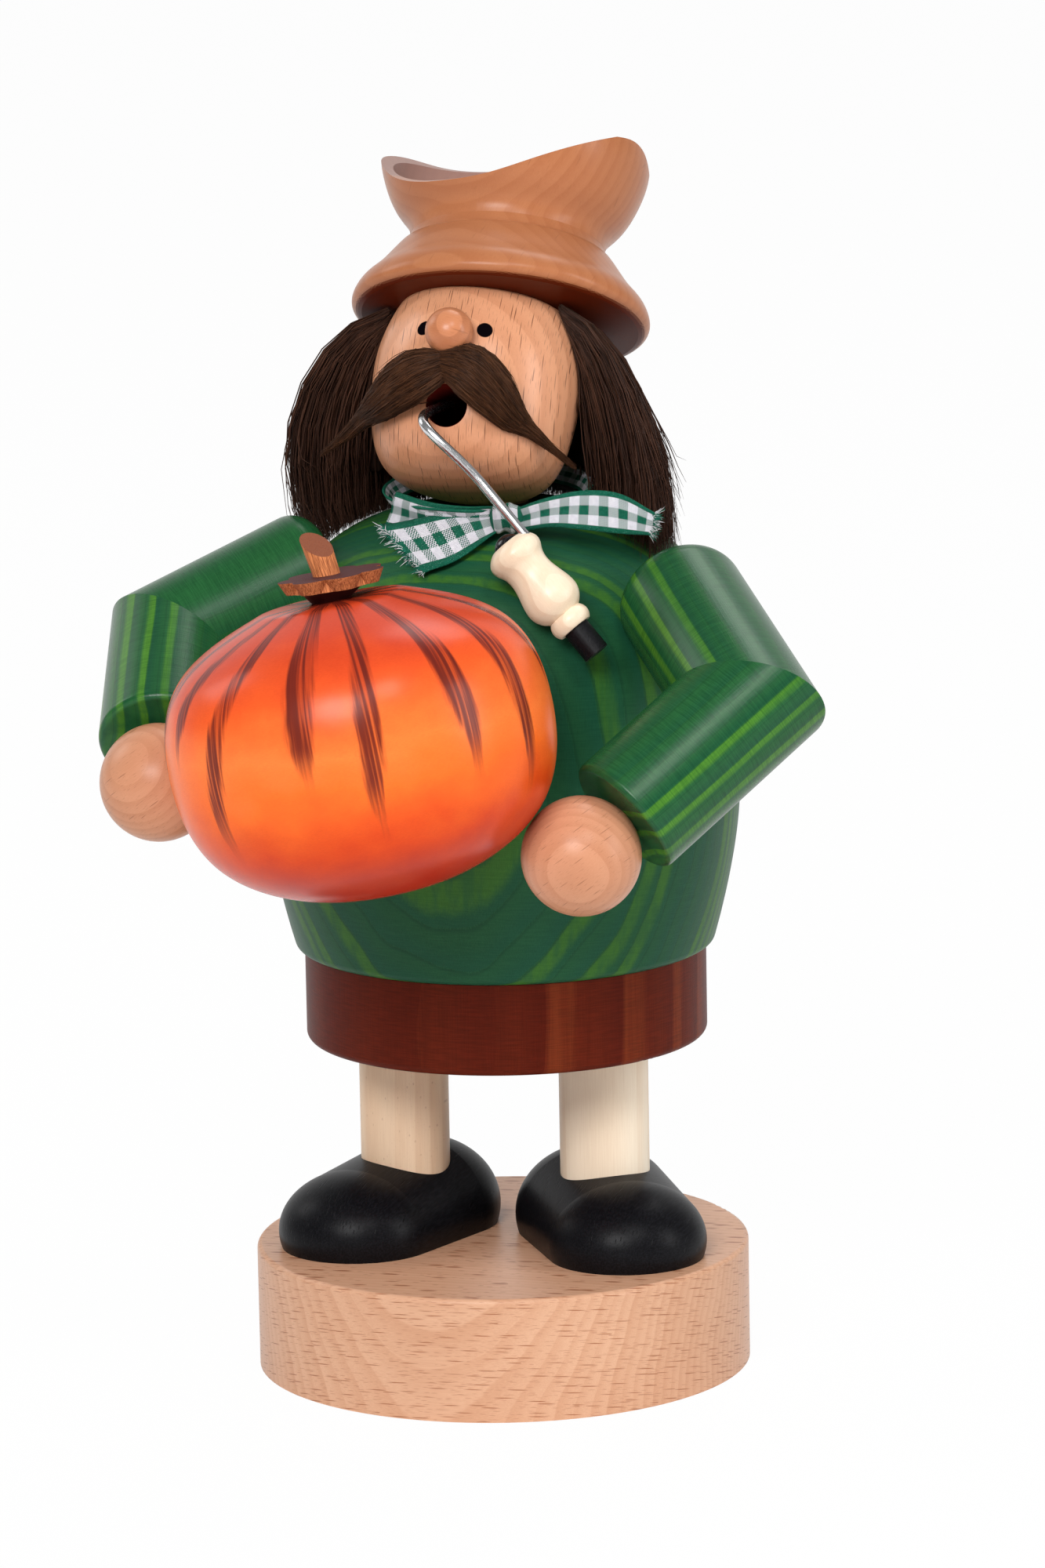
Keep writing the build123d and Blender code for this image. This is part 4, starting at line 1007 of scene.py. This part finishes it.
KNOT_AT = np.array([9.9, -20.2, 141.6])
KNOT_AXES = np.array([[0.98, 0.17, 0.08], [-0.17, 0.98, 0.05], [-0.08, -0.06, 0.99]])
# in mm: the knot's half sizes, and the length of ribbon wrapped round it
KNOT_HALF = (2.7, 1.75, 2.75)
KNOT_CLOTH = 13.0


def make_knot():
    """The knot: the ribbon wrapped once round itself, with pleats that gather towards both sides."""
    across, deep, up = (axis * half for axis, half in zip(KNOT_AXES, KNOT_HALF))
    rows, around = 26, 44
    points = []
    for v in np.linspace(-1, 1, rows):
        size = (1 - abs(v) ** 3.2) ** 0.5 if abs(v) < 1 else 0.02
        for turn in np.arange(around) * 2 * math.pi / around:
            pleat = 1 + 0.1 * math.sin(7 * v + 1.5 * math.cos(turn)) * size
            swell = size * pleat * (0.82 + 0.18 * v * v)
            points.append(KNOT_AT + across * v + (deep * math.cos(turn) + up * math.sin(turn)) * swell)
    knot = mesh_piece("ribbon_knot", points, tube_faces(rows, around), CLOTH)
    uv = knot.data.uv_layers.new(name="cloth")
    for loop, item in zip(knot.data.loops, uv.data):
        row, column = divmod(loop.vertex_index, around)
        item.uv = (KNOT_CLOTH / CLOTH_UNIT * column / around, BROAD / CLOTH_UNIT * row / (rows - 1))


def make_ribbon():
    threads = thread_finish()
    make_band()
    make_tail("right", TAIL_RIGHT, 1.0, lambda u, v: 0.35 * (1 - u) * np.sin(v * 9 + 1)
              + 0.15 * np.sin(u * 9 + v * 3), 420, threads)
    make_loop()
    make_tail("left", TAIL_LEFT, 2.6, lambda u, v: 0.4 * (1 - u) ** 2 * np.sin(v * 10)
              + 0.2 * np.sin(u * 12 + v * 2), 260, threads)
    make_knot()


make_hair()
make_moustache()
make_ribbon()


# Studio, in m and W

MIDDLE = (0.0, 0.0, 0.11)
FLOOR_HALF = 9.0
FLOOR_TONE = (0.86, 0.86, 0.86)
FLOOR_GLOW_SHARE = 0.975
ROOM = 0.22
BACKDROP_WAY = (-0.32, 0.95, 0.0)
# each lamp: its place, its size and its power
LAMPS = (("key", (0.06, -1.08, 0.74), (0.5, 0.4), 11.5), ("high", (0.55, -0.74, 1.0), (0.26, 0.3), 3.4),
         ("right", (1.22, -0.08, 0.5), (0.28, 0.7), 5.0), ("left", (-1.1, 0.1, 0.8), (0.4, 0.5), 2.4),
         ("top", (0.1, 0.62, 1.15), (0.6, 0.4), 3.4))


def seen_direct(studio, gloss_share=1.0):
    """1 for rays from the camera, from gloss by a share and through glass, and 0 for the rest."""
    rays = studio.node("ShaderNodeLightPath")
    gloss = studio.times(rays.outputs["Is Glossy Ray"], gloss_share)
    seen = studio.math("MAXIMUM", rays.outputs["Is Camera Ray"], gloss)
    return studio.math("MAXIMUM", seen, rays.outputs["Is Transmission Ray"])


def backdrop_side(studio):
    """1 for directions towards the white backdrop behind the object, falling to 0 in front of it."""
    way = studio.node("ShaderNodeTexCoord").outputs["Generated"]
    return studio.span(studio.vector("DOT_PRODUCT", way, BACKDROP_WAY), 0.3, 0.85)


def blended(studio, output, share, first, last):
    """Puts two shaders, mixed by a share, into an output."""
    blend = studio.fill(studio.node("ShaderNodeMixShader"), share, first.outputs[0], last.outputs[0])
    studio.put(studio.node(output).inputs["Surface"], blend.outputs[0])


def make_floor():
    """A white floor that keeps a faint shadow."""
    corners = [(x * FLOOR_HALF, y * FLOOR_HALF, 0) for x, y in ((-1, -1), (1, -1), (1, 1), (-1, 1))]
    data = bpy.data.meshes.new("floor")
    data.from_pydata(corners, [], [(0, 1, 2, 3)])
    floor = shown("floor", data)
    material = bpy.data.materials.new("studio_floor")
    studio = Nodes(material)
    diffuse, glow = studio.node("ShaderNodeBsdfDiffuse"), studio.node("ShaderNodeEmission")
    studio.put(diffuse.inputs["Color"], FLOOR_TONE)
    studio.put(glow.inputs["Strength"], 1.0)
    share = studio.times(seen_direct(studio), FLOOR_GLOW_SHARE)
    blended(studio, "ShaderNodeOutputMaterial", share, diffuse, glow)
    data.materials.append(material)


def make_world():
    """White for the camera and behind the object, and a dimmer room on the camera's side for the rest."""
    world = bpy.data.worlds.new("studio")
    bpy.context.scene.world = world
    studio = Nodes(world)
    dim, white = (studio.node("ShaderNodeBackground") for _ in range(2))
    for background, strength in ((dim, ROOM), (white, 1.0)):
        studio.put(background.inputs["Color"], (1.0, 1.0, 1.0))
        studio.put(background.inputs["Strength"], strength)
    blended(studio, "ShaderNodeOutputWorld", seen_direct(studio, backdrop_side(studio)), dim, white)


def lamp(name, place, size, power):
    """An oblong lamp that faces the object's middle."""
    data = bpy.data.lights.new(name, "AREA")
    data.shape = "RECTANGLE"
    data.size, data.size_y = size
    data.energy = power
    made = shown(name, data)
    made.location = place
    made.rotation_euler = (Vector(MIDDLE) - Vector(place)).to_track_quat("-Z", "Y").to_euler()


make_floor()
make_world()
for described in LAMPS:
    lamp(*described)

bpy.context.scene.view_settings.view_transform = "Standard"
